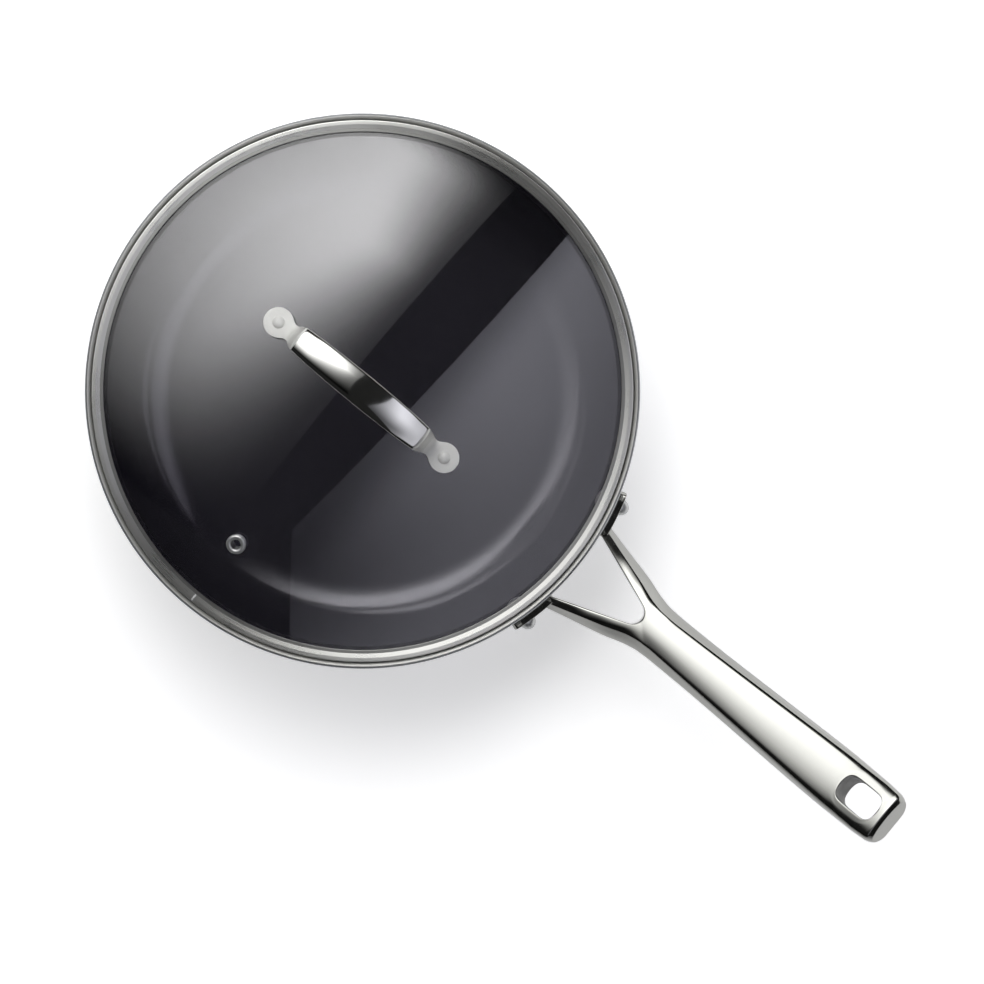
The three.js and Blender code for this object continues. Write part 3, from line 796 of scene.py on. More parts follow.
def bowl_line(depth):
    """The bowl's section from the axis to the rim, at a depth into the sheet from its inside face."""
    p = pan_sizes()
    sheet = sheet_thickness()
    corner_height = sheet + p.corner_radius
    wall = (p.wall_top - corner_height + p.corner_radius * math.sin(p.wall_draft)) / math.cos(p.wall_draft)
    floor = p.mouth_radius - p.corner_radius * math.cos(p.wall_draft) - wall * math.sin(p.wall_draft)
    bend = p.corner_radius + depth
    corner = arc((floor, corner_height), bend, -QUARTER_TURN, -p.wall_draft, CORNER_STEPS)
    curl = p.lip_radius - depth
    lip = arc(lip_centre(), curl, math.pi - p.wall_draft, math.pi - lip_end(depth), LIP_STEPS)
    floor_rings = [(floor * i / FLOOR_RINGS, sheet - depth) for i in range(FLOOR_RINGS)]
    return [*floor_rings, *corner, *lip]


def lip_end(depth):
    """Lean at which the lip ends at a depth, so that the rim's edge is one full round."""
    p = pan_sizes()
    half = sheet_thickness() / 2
    back = half - math.sqrt(max(half ** 2 - (depth - half) ** 2, 0))
    return p.rim_lean - back / (p.lip_radius - depth)


def rim_point(depth):
    """The last point of the bowl's section at a depth."""
    curl, lean = pan_sizes().lip_radius - depth, lip_end(depth)
    return lip_centre() + curl * Vector((-math.cos(lean), math.sin(lean)))


def drill_for_rivets(obj):
    """Drills a piece on the wall for the handle's two rivets."""
    p = pan_sizes()
    for side in (1, -1):
        drill = place(rod(p.rivet_shank + p.seat_gap, *DRILL_REACH), rivet_frame(side))
        combine(obj, drill, "DIFFERENCE")


def ply(near, far):
    """One ply between two depths, with its share of the rounded rim, drilled for the rivets."""
    edge = [rim_point(far + (near - far) * i / RIM_STEPS) for i in range(1, RIM_STEPS)]
    made = turn([*bowl_line(far), *edge, *reversed(bowl_line(near))], LARGE_STEPS)
    drill_for_rivets(made)
    return made


class SAUTE_PAN_OT_bowl(bpy.types.Operator):
    """Spin the three plies of the clad bowl"""

    bl_idname = "saute_pan.bowl"
    bl_label = "Bowl"

    def execute(self, context):
        p = pan_sizes()
        core_near = p.inner_ply + p.bond_line
        outer_near = core_near + p.core_ply + p.bond_line
        liner = ply(0, p.inner_ply)
        finish_piece(liner, "bowl_coated_liner", "coating", "pan", "coated_steel", "pan_inner_ply")
        bare_from = lip_centre().x - p.lip_radius * math.cos(p.rim_lean - p.bare_lean)
        paint(liner, "rim", lambda centre, normal: centre.xy.length > bare_from)
        core = ply(core_near, core_near + p.core_ply)
        finish_piece(core, "bowl_core_sheet", "core", "pan", "core_aluminium", "pan_core_ply")
        outside = ply(outer_near, sheet_thickness())
        finish_piece(outside, "bowl_outer_sheet", "satin", "pan", "satin_steel", "pan_outer_ply")
        return {"FINISHED"}


def handle_values(run):
    """Rise, half width of the top, half width of the widest line and depth at a run."""
    stations = HANDLE_STATIONS
    run = min(max(run / MM, stations[0][0]), stations[-1][0])
    for before, after in zip(stations, stations[1:]):
        if run <= after[0]:
            share = (run - before[0]) / (after[0] - before[0])
            return [MM * (a + (b - a) * share) for a, b in zip(before[1:], after[1:])]


def handle_slope(run):
    low = max(run - SLOPE_STEP, HANDLE_START)
    high = min(run + SLOPE_STEP, HANDLE_TIP)
    return math.atan2(handle_values(high)[0] - handle_values(low)[0], high - low)


def handle_point(run, across, up):
    """A point at a run along the handle, across it, and up from its top line, square to the slope."""
    slope = handle_slope(run)
    rise = handle_values(run)[0]
    return Vector((
        handle_root() + run - up * math.sin(slope),
        across,
        flange_middle() + rise + up * math.cos(slope),
    ))


def ramp(value, start, end):
    """Rises from 0 to 1 between two values."""
    return min(max((value - start) / (end - start), 0), 1)


def handle_section(inner_run, inner, outer_run, upright=False, fall=0.0):
    """Half a section, from the fork's or the hole's edge over the top, down the side and back under."""
    p = pan_sizes()
    _, top, wide, depth = handle_values(outer_run)
    tip = ramp(outer_run, *SHOULDER_GROWS)
    large = p.leg_edge_round + (p.edge_round - p.leg_edge_round) * ramp(outer_run, *EDGE_GROWS)
    small, crown = p.loop_edge_round, p.handle_crown
    if outer_run < EDGE_GROWS[1]:
        small = p.inner_edge_round
    if upright:
        leg = ramp(inner, *INNER_GROWS)
        small += (p.leg_inner_round - small) * leg
        crown += (p.leg_crown - crown) * leg
    corner = top + CORNER_SHARE * large * (1 - tip)
    span = math.hypot(outer_run - inner_run, corner - inner)

    def top_point(share):
        run = inner_run + (outer_run - inner_run) * share
        across = inner + (corner - inner) * share
        from_middle = share if upright else across / corner
        drop = crown * from_middle ** 2 + p.tip_edge_fall * tip * from_middle ** 4
        return handle_point(run, across, -fall - drop)

    def side_point(across, up):
        return handle_point(outer_run, across, up)

    near_edge = small / span
    near_edge += (GRIP_LINE - near_edge) * (1 - ramp(inner, 0, INNER_GROWS[0]))
    edge = -crown - p.tip_edge_fall * tip - fall
    side_drop = WIDEST_SHARE * depth + edge
    side_share = large / math.hypot(side_drop, wide - corner)
    edge_point = side_point(corner + (wide - corner) * side_share, edge - side_drop * side_share)
    shoulder_drop = SHOULDER_DOWN * (wide - top)
    shoulder = side_point(corner + SHOULDER_OUT * (wide - corner), edge - shoulder_drop)
    edge_point = edge_point.lerp(shoulder, tip)
    under = max(BOTTOM_SHARE * wide, inner + LEAST_BOTTOM * (wide - inner))
    lower = under + LOWER_OUT * (wide - under)
    # smoothing draws a point in towards its neighbours, so the widest one stands out by as much
    widest = 1.5 * wide - (edge_point.y + lower) / 4
    inner_top = top_point(0)
    inner_depth = handle_values(inner_run)[3]
    if upright:
        inner_low = inner_top - Vector((0, 0, inner_depth / math.cos(handle_slope(inner_run))))
    else:
        inner_low = handle_point(inner_run, inner, -inner_depth)
    down = (inner_low - inner_top).normalized()
    under_point = side_point(under, -depth)
    inward = (under_point - inner_low).normalized()
    return [
        inner_top + down * small,
        inner_top,
        top_point(min(near_edge, INNER_LINE)),
        top_point(MIDDLE_LINE),
        top_point(max(1 - large / span, OUTER_LINE)),
        top_point(1),
        edge_point,
        side_point(widest, -WIDEST_SHARE * depth),
        side_point(lower, -LOWER_SHARE * depth),
        under_point,
        inner_low.lerp(under_point, 0.5),
        inner_low + inward * small,
        inner_low,
        inner_low - down * small,
    ]


def fork_rows():
    """Inner run and half gap of each row along a leg and round the fork, with the row's outer run."""
    p = pan_sizes()
    slant = math.tan(p.fork_angle)
    rows = [(run * MM, p.fork_half_width - run * MM * slant, run * MM) for run in LEG_RUNS]
    centre = (p.fork_half_width - p.fork_radius / math.cos(p.fork_angle)) / slant
    ends = arc((centre, 0), p.fork_radius, QUARTER_TURN - p.fork_angle, 0, len(FORK_RUNS) - 1)
    return rows + [(run, inner, outer * MM) for (run, inner), outer in zip(ends, FORK_RUNS)]


def loop_rows():
    """The same round the hanging hole, from its edge near the pan to its edge near the tip."""
    p = pan_sizes()
    middle = loop_middle()
    shrink = math.cos(handle_slope(middle))
    long, wide, corner = p.loop_length / 2, p.loop_width / 2, p.loop_corner
    bend = arc((corner, wide - corner), corner, math.pi, QUARTER_TURN, 3)
    near = [(-long, 0), *((x - long, y) for x, y in bend)]
    far = [(long - x, y) for x, y in reversed(bend)]
    outline = [*near, (0, wide), *far, (long, 0)]
    first, last = (middle + side for side in LOOP_SIDES)
    count = len(outline) - 1
    return [
        (middle + x * shrink, y, first + (last - first) * i / count) for i, (x, y) in enumerate(outline)
    ]


def handle_sections():
    """All sections of half the handle, from inside the wall to the tip."""
    p = pan_sizes()
    small = p.loop_edge_round
    fork, loop = fork_rows(), loop_rows()
    apex = fork[-1][0]
    near, _, near_side = loop[0]
    far, _, far_side = loop[-1]
    grip = [(apex + p.inner_edge_round, apex + FORK_SIDES[0]), (apex + OPENING_EASE, apex + FORK_SIDES[1])]
    grip += [(run * MM, run * MM) for run in GRIP_RUNS]
    grip += [(near - OPENING_EASE, near_side - BEFORE_LOOP[0]), (near - small, near_side - BEFORE_LOOP[1])]
    sections = [handle_section(*row, upright=True) for row in fork]
    sections += [handle_section(run, 0, outer) for run, outer in grip]
    sections += [handle_section(*row) for row in loop]
    sections.append(handle_section(far + small, 0, far_side + AFTER_LOOP))
    for back, fall in TIP_FALLS:
        run = HANDLE_TIP - back * MM
        sections.append(handle_section(run, 0, run, fall=fall * MM))
    return sections


def forked_handle():
    """Half the handle as a loft, mirrored, smoothed, with its flanges joined and the wall cut away."""
    obj = loft(handle_sections())
    select_faces(obj, lambda face: all(abs(v.co.y) < SAME_POINT for v in face.verts))
    bpy.ops.mesh.delete(type="FACE")
    tip_x = max(v.co.x for v in bmesh.from_edit_mesh(obj.data).verts) - TIP_REACH
    select_faces(obj, lambda face: len(face.verts) > 4 and face.calc_center_median().x > tip_x)
    bpy.ops.mesh.inset(thickness=TIP_INSET, depth=0, use_boundary=False)
    close()
    modify(obj, "MIRROR", use_axis=(False, True, False), use_clip=True, merge_threshold=SAME_POINT)
    modify(obj, "SUBSURF", levels=SUBDIVISIONS, render_levels=SUBDIVISIONS)
    bpy.ops.object.mode_set(mode="EDIT")
    close()
    for side in (1, -1):
        combine(obj, flange(side), "UNION")
    outside = bowl_line(sheet_thickness() + pan_sizes().seat_gap)
    combine(obj, turn([*outside, (0, outside[-1][1])], LARGE_STEPS), "DIFFERENCE")
    drill_for_rivets(obj)
    return obj


def flange(side):
    """A curved plate on the wall: a slanted strip spun part of the way round, with rounded corners."""
    p = pan_sizes()
    arris = 0.25 * MM
    seat = sheet_thickness() + p.seat_gap
    top = p.wall_top - p.flange_drop
    low = top - p.flange_height
    radius = wall_radius(flange_middle(), seat)
    first = math.asin(p.fork_half_width / radius)
    last = math.asin((p.fork_half_width + p.flange_width) / radius)
    obj = start(bpy.ops.mesh.primitive_plane_add, size=MM)
    corners = [
        (wall_radius(low, seat), low),
        (wall_radius(low, seat + p.flange_thickness), low),
        (wall_radius(top, seat + p.flange_thickness), top),
        (wall_radius(top, seat), top - p.flange_dish),
    ]
    mesh = bmesh.from_edit_mesh(obj.data)
    for vert, (r, z) in zip(list(mesh.faces)[0].verts, corners):
        vert.co = Vector((r * math.cos(first), side * r * math.sin(first), z))
    bmesh.update_edit_mesh(obj.data)
    spread = side * (first - last)
    bpy.ops.mesh.spin(steps=FLANGE_STEPS, angle=spread, center=(0, 0, 0), axis=(0, 0, 1))
    merge_points()
    bpy.ops.mesh.select_mode(type="EDGE")
    bpy.ops.mesh.select_all(action="DESELECT")
    mesh = bmesh.from_edit_mesh(obj.data)
    same_angle = 1e-4
    for edge in mesh.edges:
        a, b = edge.verts
        level = abs(a.co.z - b.co.z) < MM
        across = abs(a.co.xy.length - b.co.xy.length) > p.flange_thickness / 2
        azimuths = [abs(math.atan2(v.co.y, v.co.x)) for v in edge.verts]
        at_end = all(min(abs(t - first), abs(t - last)) < same_angle for t in azimuths)
        edge.select_set(level and across and at_end)
    bmesh.update_edit_mesh(obj.data)
    bpy.ops.mesh.bevel(offset=p.flange_corner, segments=6, affect="EDGES")
    close()
    modify(obj, "BEVEL", width=arris, segments=1, limit_method="ANGLE", angle_limit=SHARP_ANGLE)
    return obj


class SAUTE_PAN_OT_handle(bpy.types.Operator):
    """Loft the forked handle and join its flanges"""

    bl_idname = "saute_pan.handle"
    bl_label = "Forked Handle"

    def execute(self, context):
        handle = forked_handle()
        finish_piece(handle, "forked_handle", "handle", "pan", "polished_steel", "pan_handle")
        p = pan_sizes()
        middle = handle_point(loop_middle(), 0, 0)
        slope = handle_slope(loop_middle())
        along = Vector((math.cos(slope), 0, math.sin(slope)))
        up = Vector((-math.sin(slope), 0, math.cos(slope)))
        margin = 0.6 * MM
        steep = 0.4  # the hole's wall faces less far up or down than this

        def in_loop_painted_shade(centre, normal):
            inside_run = abs((centre - middle).dot(along)) < p.loop_length / 2 + margin
            inside_width = abs(centre.y) < p.loop_width / 2 + margin
            return inside_run and inside_width and abs(normal.dot(up)) < steep

        # the hanging hole's wall gets painted shade: a darker, rougher copy of the handle's steel
        paint(handle, "bore", in_loop_painted_shade)
        return {"FINISHED"}


class SAUTE_PAN_OT_handle_rivets(bpy.types.Operator):
    """Spin the rivets that hold the handle"""

    bl_idname = "saute_pan.handle_rivets"
    bl_label = "Handle Rivets"

    def execute(self, context):
        p = pan_sizes()
        inside = (p.inside_head, -sheet_thickness(), -p.inside_rise)
        outside = (p.rivet_head, p.flange_thickness + p.seat_gap, p.rivet_rise)
        for name, side in (("left", 1), ("right", -1)):
            made = place(rivet(p.rivet_shank, inside, outside), rivet_frame(side))
            node = f"handle_rivet_{name}"
            finish_piece(made, f"flange_rivet_{name}", "rivet", "pan", "satin_steel", node)
        return {"FINISHED"}


# Shapes of the lid


class SAUTE_PAN_OT_glass(bpy.types.Operator):
    """Spin the domed glass and drill it"""

    bl_idname = "saute_pan.glass"
    bl_label = "Glass Dome"

    def execute(self, context):
        lid, at = lid_sizes(), LidPlaces()
        steps = 40  # from the middle to the edge
        centre = (0, at.dome_centre)
        edge = QUARTER_TURN - at.glass_slope
        over = arc(centre, lid.dome_radius, QUARTER_TURN, edge, steps)
        under = arc(centre, lid.dome_radius - lid.glass_thickness, edge, QUARTER_TURN, steps)
        over[0] = (0, over[0][1])
        under[-1] = (0, under[-1][1])
        glass = turn([*over, *under], LARGE_STEPS)
        deep = 3 * lid.glass_thickness
        drills = [(lid.rivet_shank, lid.rivet_span / 2, azimuth) for azimuth in FEET.values()]
        drills.append((lid.vent_bore + lid.vent_wall, at.vent, -QUARTER_TURN))
        for radius, reach, azimuth in drills:
            drill = place(rod(radius + lid.fit_gap, -deep, deep), at.dome_frame(reach, azimuth))
            combine(glass, drill, "DIFFERENCE")
        finish_piece(glass, "glass_dome", "glass", "lid", "lid_glass", "lid_glass")
        return {"FINISHED"}


class SAUTE_PAN_OT_band(bpy.types.Operator):
    """Spin the rolled band and raise its weld seam"""

    bl_idname = "saute_pan.band"
    bl_label = "Rolled Band"

    def execute(self, context):
        lid, at = lid_sizes(), LidPlaces()
        sheet = lid.band_sheet
        low = at.glass_low - lid.fit_gap - sheet
        channel = at.skirt - sheet
        step = at.crimp + lid.crimp_width
        crease = step + lid.crease_width
        hem, edge, brim = lid.hem_round, lid.crimp_edge, at.brim - lid.hem_inset
        top = at.crown - lid.band_sink
        inner_top = top - lid.crimp_step
        flat = 0.2 * MM  # stretches beside the bends that keep the flat faces' shading flat
        slant = flat * lid.crimp_step / lid.crease_width
        section = [
            (brim, at.brim_height),
            *arc((brim - hem, top - hem), hem, 0, QUARTER_TURN, 6),
            (brim - hem - flat, top),
            (crease + flat, top),
            (crease, top),
            (crease - flat, top - slant),
            (step + flat, inner_top + slant),
            (step, inner_top),
            (step - flat, inner_top),
            (at.crimp + edge + flat, inner_top),
            (at.crimp + edge, inner_top),
            (at.crimp, at.crimp_height + edge / 2),
            (at.crimp, at.crimp_height),
            (channel, top - sheet),
            (channel, low + sheet),
            (at.crimp, low + sheet),
            (at.crimp, low),
            (at.skirt, low),
            (at.skirt, at.brim_height),
        ]
        band = turn_ring(rounded(section, lid.band_round), LARGE_STEPS)
        self.raise_weld(band, lid, top)
        finish_piece(band, "rolled_band", "band", "lid", "band_steel", "lid_rim_band")

        def on_crimp_painted_shade(centre, normal):
            return centre.xy.length < step and centre.z > at.crimp_height + edge / 2

        def on_weld(centre, normal):
            return centre.y < 0 and abs(centre.x) < lid.weld_width / 2 and centre.z > top - flat

        # the crimped strip gets painted shade: a greyer copy of the band's steel
        paint(band, "crimp", on_crimp_painted_shade)
        paint(band, "rivet", on_weld)
        return {"FINISHED"}

    def raise_weld(self, band, lid, top):
        """Cuts two lines across the band on its -Y side and lifts the top between them."""
        half = lid.weld_width / 2
        reach = 8 * MM  # the cuts touch no face further from the weld
        low = top - 0.9 * lid.crimp_step  # the crimped edge lies under this
        least_up = 0.3  # the lifted faces look upwards by more than this
        select_only(band)
        bpy.ops.object.mode_set(mode="EDIT")

        def on_weld_side(face):
            middle = face.calc_center_median()
            return middle.y < 0 and abs(middle.x) < reach

        def on_weld(face):
            middle = face.calc_center_median()
            return middle.y < 0 and abs(middle.x) < half and middle.z > low and face.normal.z > least_up

        for x in (-half, half):
            select_faces(band, on_weld_side)
            bpy.ops.mesh.bisect(plane_co=(x, 0, 0), plane_no=(1, 0, 0))
        select_faces(band, on_weld)
        bpy.ops.mesh.extrude_region_move(TRANSFORM_OT_translate={"value": (0, 0, lid.weld_rise)})
        bpy.ops.object.mode_set(mode="OBJECT")


class SAUTE_PAN_OT_bridge(bpy.types.Operator):
    """Loft the lid's bridge handle with its two feet"""

    bl_idname = "saute_pan.bridge"
    bl_label = "Bridge Handle"

    def execute(self, context):
        lid, at = lid_sizes(), LidPlaces()
        foot_middle = Vector((0, 0, at.foot_seat + lid.foot_thickness / 2))
        foot = at.dome_frame(lid.rivet_span / 2, 0) @ foot_middle
        top = foot.z + lid.bridge_rise
        front = []
        for reach, drop, half, depth, crown in BRIDGE_STATIONS:
            x = 0 if reach is None else foot.x - reach * MM
            front.append((x, top - drop * MM, half * MM, depth * MM, crown * MM))
        rear = [(-x, *rest) for x, *rest in reversed(front[1:])]
        bridge = loft(self.sections([*rear, *front]))
        close()
        modify(bridge, "SUBSURF", levels=SUBDIVISIONS + 1, render_levels=SUBDIVISIONS + 1)
        for azimuth in FEET.values():
            drill = rod(lid.rivet_shank + lid.fit_gap, 0, 2 * at.foot_height)
            place(drill, at.dome_frame(lid.rivet_span / 2, azimuth))
            combine(bridge, drill, "DIFFERENCE")
        finish_piece(bridge, "bridge_handle", "bridge", "lid", "polished_steel", "lid_handle")
        foot_start, leg_start = foot.x - FOOT_REACH, foot.x - LEG_REACH
        paint(bridge, "leg", lambda centre, normal: leg_start < abs(centre.x) <= foot_start)
        # the feet get painted light: a pale, little metallic copy of the bridge's steel
        paint(bridge, "foot", lambda centre, normal: abs(centre.x) > foot_start)
        return {"FINISHED"}

    def sections(self, path):
        """A crowned section at each station, square to the path."""
        made = []
        for i, (x, z, half, depth, crown) in enumerate(path):
            before, after = path[max(i - 1, 0)], path[min(i + 1, len(path) - 1)]
            slope = math.atan2(after[1] - before[1], after[0] - before[0])
            outline = [(share * half, depth / 2 - crown * share ** 2) for share in BRIDGE_TOP]
            outline += [(share * half, -depth / 2) for share in BRIDGE_UNDER]
            made.append([
                Vector((x - up * math.sin(slope), across, z + up * math.cos(slope)))
                for across, up in outline
            ])
        return made


class SAUTE_PAN_OT_fixings(bpy.types.Operator):
    """Spin the lid's rivets, gaskets and washers"""

    bl_idname = "saute_pan.fixings"
    bl_label = "Lid Fixings"

    def execute(self, context):
        lid, at = lid_sizes(), LidPlaces()
        gap = lid.fit_gap
        edge = 0.25 * MM
        bore = lid.rivet_shank + gap
        upper_top = gap + lid.upper_gasket_depth
        lower_top = -lid.glass_thickness - gap
        washer_top = lower_top - lid.lower_gasket_depth - gap
        tail = (lid.tail_head, washer_top - lid.washer_depth - gap, -lid.tail_rise)
        top = (lid.rivet_head, at.foot_height, lid.rivet_rise)
        rings = (
            ("upper_gasket", lid.upper_gasket, upper_top, lid.upper_gasket_depth, "silicone", "silicone"),
            ("lower_gasket", lid.lower_gasket, lower_top, lid.lower_gasket_depth, "silicone", "silicone"),
            ("backing_washer", lid.washer, washer_top, lid.washer_depth, "satin", "satin_steel"),
        )
        for end, azimuth in FEET.items():
            here = at.dome_frame(lid.rivet_span / 2, azimuth)
            made = place(rivet(lid.rivet_shank, tail, top), here)
            # the lid's rivets get the same painted light as the feet
            finish_piece(made, f"foot_rivet_{end}", "foot", "lid", "satin_steel", f"lid_rivet_{end}")
            for name, radius, high, depth, finish, slot in rings:
                made = place(flat_ring(bore, radius, high - depth, high, edge), here)
                finish_piece(made, f"foot_{name}_{end}", finish, "lid", slot, f"{name}_{end}")
        return {"FINISHED"}


class SAUTE_PAN_OT_vent(bpy.types.Operator):
    """Spin the steam vent's eyelet and its gasket"""

    bl_idname = "saute_pan.vent"
    bl_label = "Steam Vent"

    def execute(self, context):
        lid, at = lid_sizes(), LidPlaces()
        gap, wall = lid.fit_gap, lid.vent_wall
        edge = 0.2 * MM
        tube = lid.vent_bore + wall
        gasket_top = gap + lid.vent_gasket_depth
        flange_low = gasket_top + gap
        roll_top = -lid.glass_thickness - gap
        roll = lid.vent_flange - wall
        rolled = arc((roll - wall / 2, roll_top - wall / 2), wall / 2, QUARTER_TURN, -QUARTER_TURN, 6)
        half = (lid.vent_flange - lid.vent_bore) / 2
        bead = arc((lid.vent_bore + half, flange_low), half, math.pi, 0, 14, lid.vent_flange_depth)
        inside = [(tube, flange_low), (tube, roll_top)]
        section = [*bead, *inside, *rolled, (lid.vent_bore, roll_top - wall)]
        here = at.dome_frame(at.vent, -QUARTER_TURN)
        eyelet = place(turn_ring(section, SMALL_STEPS), here)
        finish_piece(eyelet, "vent_ring", "rivet", "lid", "satin_steel", "vent_eyelet")
        gasket = place(flat_ring(tube + gap, roll, gap, gasket_top, edge), here)
        finish_piece(gasket, "vent_seal", "silicone", "lid", "silicone", "vent_gasket")
        return {"FINISHED"}


# Stage


def seen_rays(tree):
    """One for rays that carry the picture: from the eye, mirrored or passed through glass."""
    path = add_node(tree, "ShaderNodeLightPath")
    seen = path.outputs["Is Camera Ray"]
    for kind in ("Is Glossy Ray", "Is Transmission Ray"):
        seen = add_node(tree, "ShaderNodeMath", {0: seen, 1: path.outputs[kind]}, operation="MAXIMUM")
    return seen


def faded(tree, strength, *fades):
    """A strength with fades over it: each what it runs along, its start and end, and its shares there."""
    for along, start_at, end_at, first, last in fades:
        share = add_node(
            tree, "ShaderNodeMapRange",
            {"Value": along, "From Min": start_at, "From Max": end_at, "To Min": first, "To Max": last},
            interpolation_type="SMOOTHSTEP",
        )
        strength = add_node(tree, "ShaderNodeMath", {0: strength, 1: share}, operation="MULTIPLY")
    return strength


def pale_paper(tree, place_on):
    """Matt white background paper that glows a little to the eye, so that it reads as white; its glow is
    also a painted shadow round the pan and a painted shade towards -Y in what the steel mirrors.
    """
    across = add_node(tree, "ShaderNodeSeparateXYZ", {"Vector": place_on}).outputs["Y"]
    away = add_node(tree, "ShaderNodeVectorMath", {0: place_on, 1: PAINTED_SHADOW_MIDDLE}, operation="DISTANCE")
    glow_in_painted_shadow = stage_settings().floor_glow_in_painted_shadow
    glow_outside_painted_shadow = glow_in_painted_shadow + 0.2
    # painted shadow: the eye sees the paper's glow dimmer round the pan's shadow
    eye_glow_with_painted_shadow = faded(tree, 1, (away.outputs["Value"], 0.11, 0.2, glow_in_painted_shadow, glow_outside_painted_shadow))
    # painted shade: the steel mirrors the paper's glow dimmer towards -Y
    steel_glow_with_painted_shade = faded(tree, seen_rays(tree), (across, -0.5, 0.5, 0.08, 0.75))
    eye = add_node(tree, "ShaderNodeLightPath").outputs["Is Camera Ray"]
    glow = add_node(tree, "ShaderNodeMix", {"Factor": eye, "A": steel_glow_with_painted_shade, "B": eye_glow_with_painted_shadow})
    looks = {
        "Base Color": rgba(finishes().floor),
        "Roughness": 0.9,
        "Specular IOR Level": 0.0,
        "Emission Color": (1, 1, 1, 1),
        "Emission Strength": glow,
    }
    return surface(tree, looks)


def lit_cloth(tree, place_on, tint, strength):
    """A softbox's cloth: strength builds the nodes that say how bright each part of it is."""
    apart = add_node(tree, "ShaderNodeSeparateXYZ", {"Vector": place_on})
    brightness = strength(tree, apart.outputs["X"], apart.outputs["Y"])
    return add_node(tree, "ShaderNodeEmission", {"Color": rgba(tint), "Strength": brightness})


def key_strength(tree, x, y):
    """Brightest towards +Y, fading towards -Y and both ends, with a soft edge beside the camera."""
    most = stage_settings().key_radiance
    middle = 1.25  # the soft edge is narrowest here, and grows wider to both ends
    narrowest = 0.85
    widening = 0.45
    skew = -0.2  # the fade towards -Y runs a little aslant
    from_middle = add_node(tree, "ShaderNodeMath", {0: y, 1: middle}, operation="SUBTRACT")
    aside = add_node(tree, "ShaderNodeMath", {0: from_middle}, operation="ABSOLUTE")
    width = {0: aside, 1: -widening, 2: -narrowest}
    softness = add_node(tree, "ShaderNodeMath", width, operation="MULTIPLY_ADD")
    from_edge = add_node(tree, "ShaderNodeMath", {0: x, 1: KEY_EDGE}, operation="SUBTRACT")
    inward = add_node(tree, "ShaderNodeMath", {0: from_edge, 1: softness}, operation="DIVIDE")
    skewed = add_node(tree, "ShaderNodeMath", {0: x, 1: skew, 2: y}, operation="MULTIPLY_ADD")
    far = add_node(
        tree, "ShaderNodeMapRange",
        {"Value": x, "From Min": KEY_FAR, "From Max": -1.4, "To Min": 0.35 * most, "To Max": most},
    )
    return faded(
        tree, far,
        (skewed, -2.34, 1.86, 0, 1),  # dark towards -Y
        (inward, 0, 1, 0.05, 1),  # the soft edge beside the camera
        (y, KEY_END, 2.5, 0, 1),  # the soft end
    )


def fill_strength(tree, x, y):
    """Brighter towards +Y and a little away from the camera, and even at its far end."""
    most = stage_settings().fill_radiance
    far_end = 0.58 * most
    near = faded(
        tree, most,
        (y, -2.2, 1.3, 0.12, 1),  # dim towards -Y
        (x, 0.3, 0.95, 0.38, 1),  # dimmer beside the camera
    )
    to_far = faded(tree, 1, (x, 0.6, 2.6, 0, 1))
    return add_node(tree, "ShaderNodeMix", {"Factor": to_far, "A": near, "B": far_end})


def softbox(name, corners, tint, strength):
    """A flat panel over the table."""
    height = stage_settings().light_height
    obj = start(bpy.ops.mesh.primitive_circle_add, vertices=len(corners), fill_type="NGON")
    mesh = bmesh.from_edit_mesh(obj.data)
    for vert, (x, y) in zip(mesh.verts, corners):
        vert.co = Vector((x, y, height))
    bmesh.update_edit_mesh(obj.data)
    bpy.ops.object.mode_set(mode="OBJECT")
    obj.name = name
    obj.data.materials.append(new_material(f"{name}_cloth", lit_cloth, tint, strength))


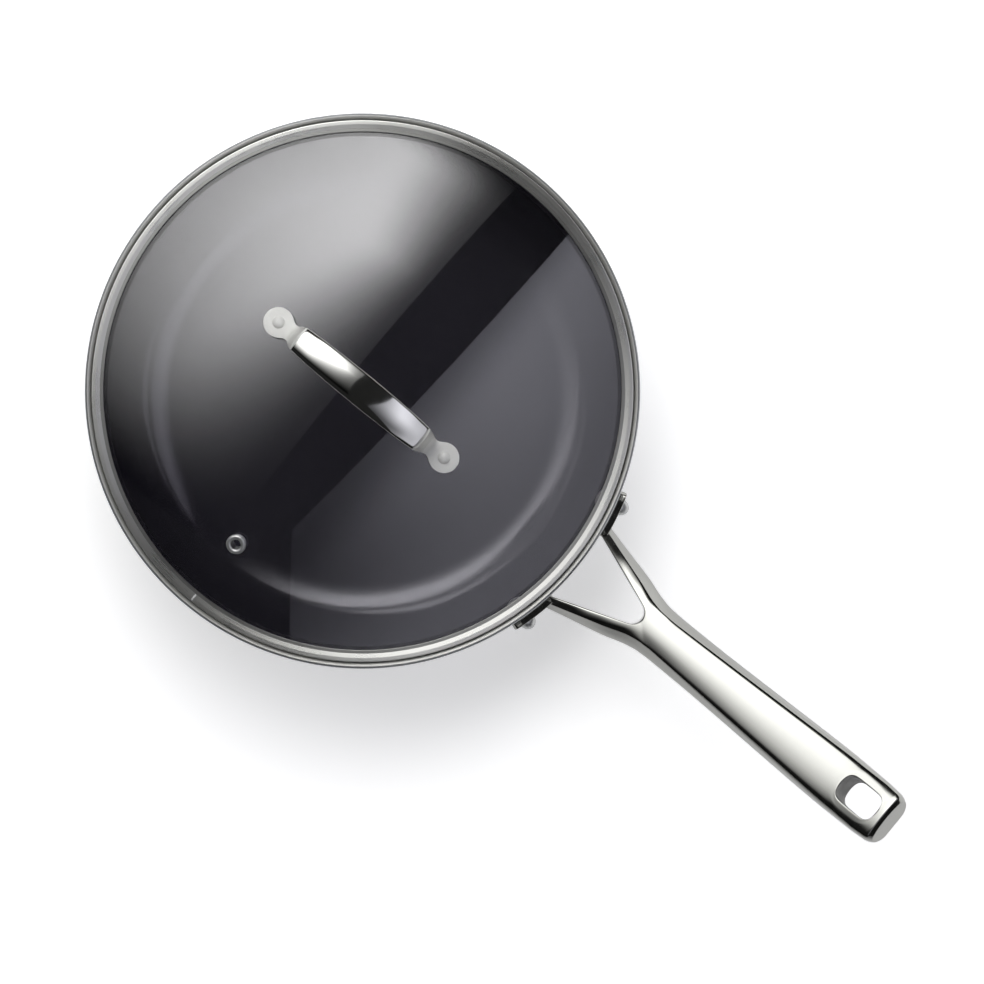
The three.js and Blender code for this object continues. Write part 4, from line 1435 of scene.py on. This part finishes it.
class SAUTE_PAN_OT_stage(bpy.types.Operator):
    """Set up the floor, the studio light and the camera"""

    bl_idname = "saute_pan.stage"
    bl_label = "Stage"

    def execute(self, context):
        self.floor()
        softbox("key_softbox", KEY_CORNERS, (1, 1, 1), key_strength)
        softbox("fill_softbox", FILL_CORNERS, finishes().fill, fill_strength)
        self.world(context.scene)
        self.camera(context.scene)
        context.scene.view_settings.view_transform = "Standard"
        return {"FINISHED"}

    def floor(self):
        """A round of paper that turns up into a low wall far behind the pan."""
        across, bend = PAPER_ACROSS, PAPER_BEND
        rise = arc((across - bend, bend), bend, -QUARTER_TURN, 0, 10)
        outline = [(PAPER_RING * i, 0) for i in range(PAPER_RINGS)]
        obj = turn([*outline, *rise, (across, stage_settings().wall_height)], PAPER_STEPS)
        select_only(obj)
        bpy.ops.object.shade_smooth()
        obj.name = "paper_floor"
        obj.data.materials.append(new_material("white_paper_matt", pale_paper))

    def world(self, scene):
        world = bpy.data.worlds.new("dark_studio")
        world.use_nodes = True
        scene.world = world
        room = stage_settings().room_radiance
        world.node_tree.nodes["Background"].inputs["Color"].default_value = (room, room, room, 1)

    def camera(self, scene):
        settings = stage_settings()
        bpy.ops.object.camera_add(
            location=(settings.camera_x, settings.camera_y, settings.camera_height),
            rotation=(0, 0, settings.camera_turn),
        )
        camera = bpy.context.object
        camera.name = "overhead_camera"
        camera.data.lens = settings.lens
        camera.data.sensor_width = 36
        scene.camera = camera


class SAUTE_PAN_PT_panel(bpy.types.Panel):
    """Lists the steps that build the pan"""

    bl_idname = "SAUTE_PAN_PT_panel"
    bl_label = "Saute Pan"
    bl_space_type = "VIEW_3D"
    bl_region_type = "UI"
    bl_category = "Saute Pan"

    def draw(self, context):
        for operator in OPERATORS:
            self.layout.operator(operator.bl_idname)
        for group in SETTINGS:
            box = self.layout.box()
            values = getattr(context.scene, group)
            for name in values.__annotations__:
                box.prop(values, name)


OPERATORS = (
    SAUTE_PAN_OT_bowl,
    SAUTE_PAN_OT_handle,
    SAUTE_PAN_OT_handle_rivets,
    SAUTE_PAN_OT_glass,
    SAUTE_PAN_OT_band,
    SAUTE_PAN_OT_bridge,
    SAUTE_PAN_OT_fixings,
    SAUTE_PAN_OT_vent,
    SAUTE_PAN_OT_stage,
)
SETTINGS = {
    "saute_pan_sizes": PanSizes,
    "saute_pan_lid": LidSizes,
    "saute_pan_finishes": Finishes,
    "saute_pan_stage": StageSettings,
}
CLASSES = (*SETTINGS.values(), *OPERATORS, SAUTE_PAN_PT_panel)


def register():
    for cls in CLASSES:
        bpy.utils.register_class(cls)
    for name, group in SETTINGS.items():
        setattr(bpy.types.Scene, name, PointerProperty(type=group))


def unregister():
    for name in SETTINGS:
        delattr(bpy.types.Scene, name)
    for cls in reversed(CLASSES):
        bpy.utils.unregister_class(cls)


def main():
    register()
    bpy.ops.saute_pan.bowl()
    bpy.ops.saute_pan.handle()
    bpy.ops.saute_pan.handle_rivets()
    bpy.ops.saute_pan.glass()
    bpy.ops.saute_pan.band()
    bpy.ops.saute_pan.bridge()
    bpy.ops.saute_pan.fixings()
    bpy.ops.saute_pan.vent()
    bpy.ops.saute_pan.stage()


if __name__ == "__main__":
    main()
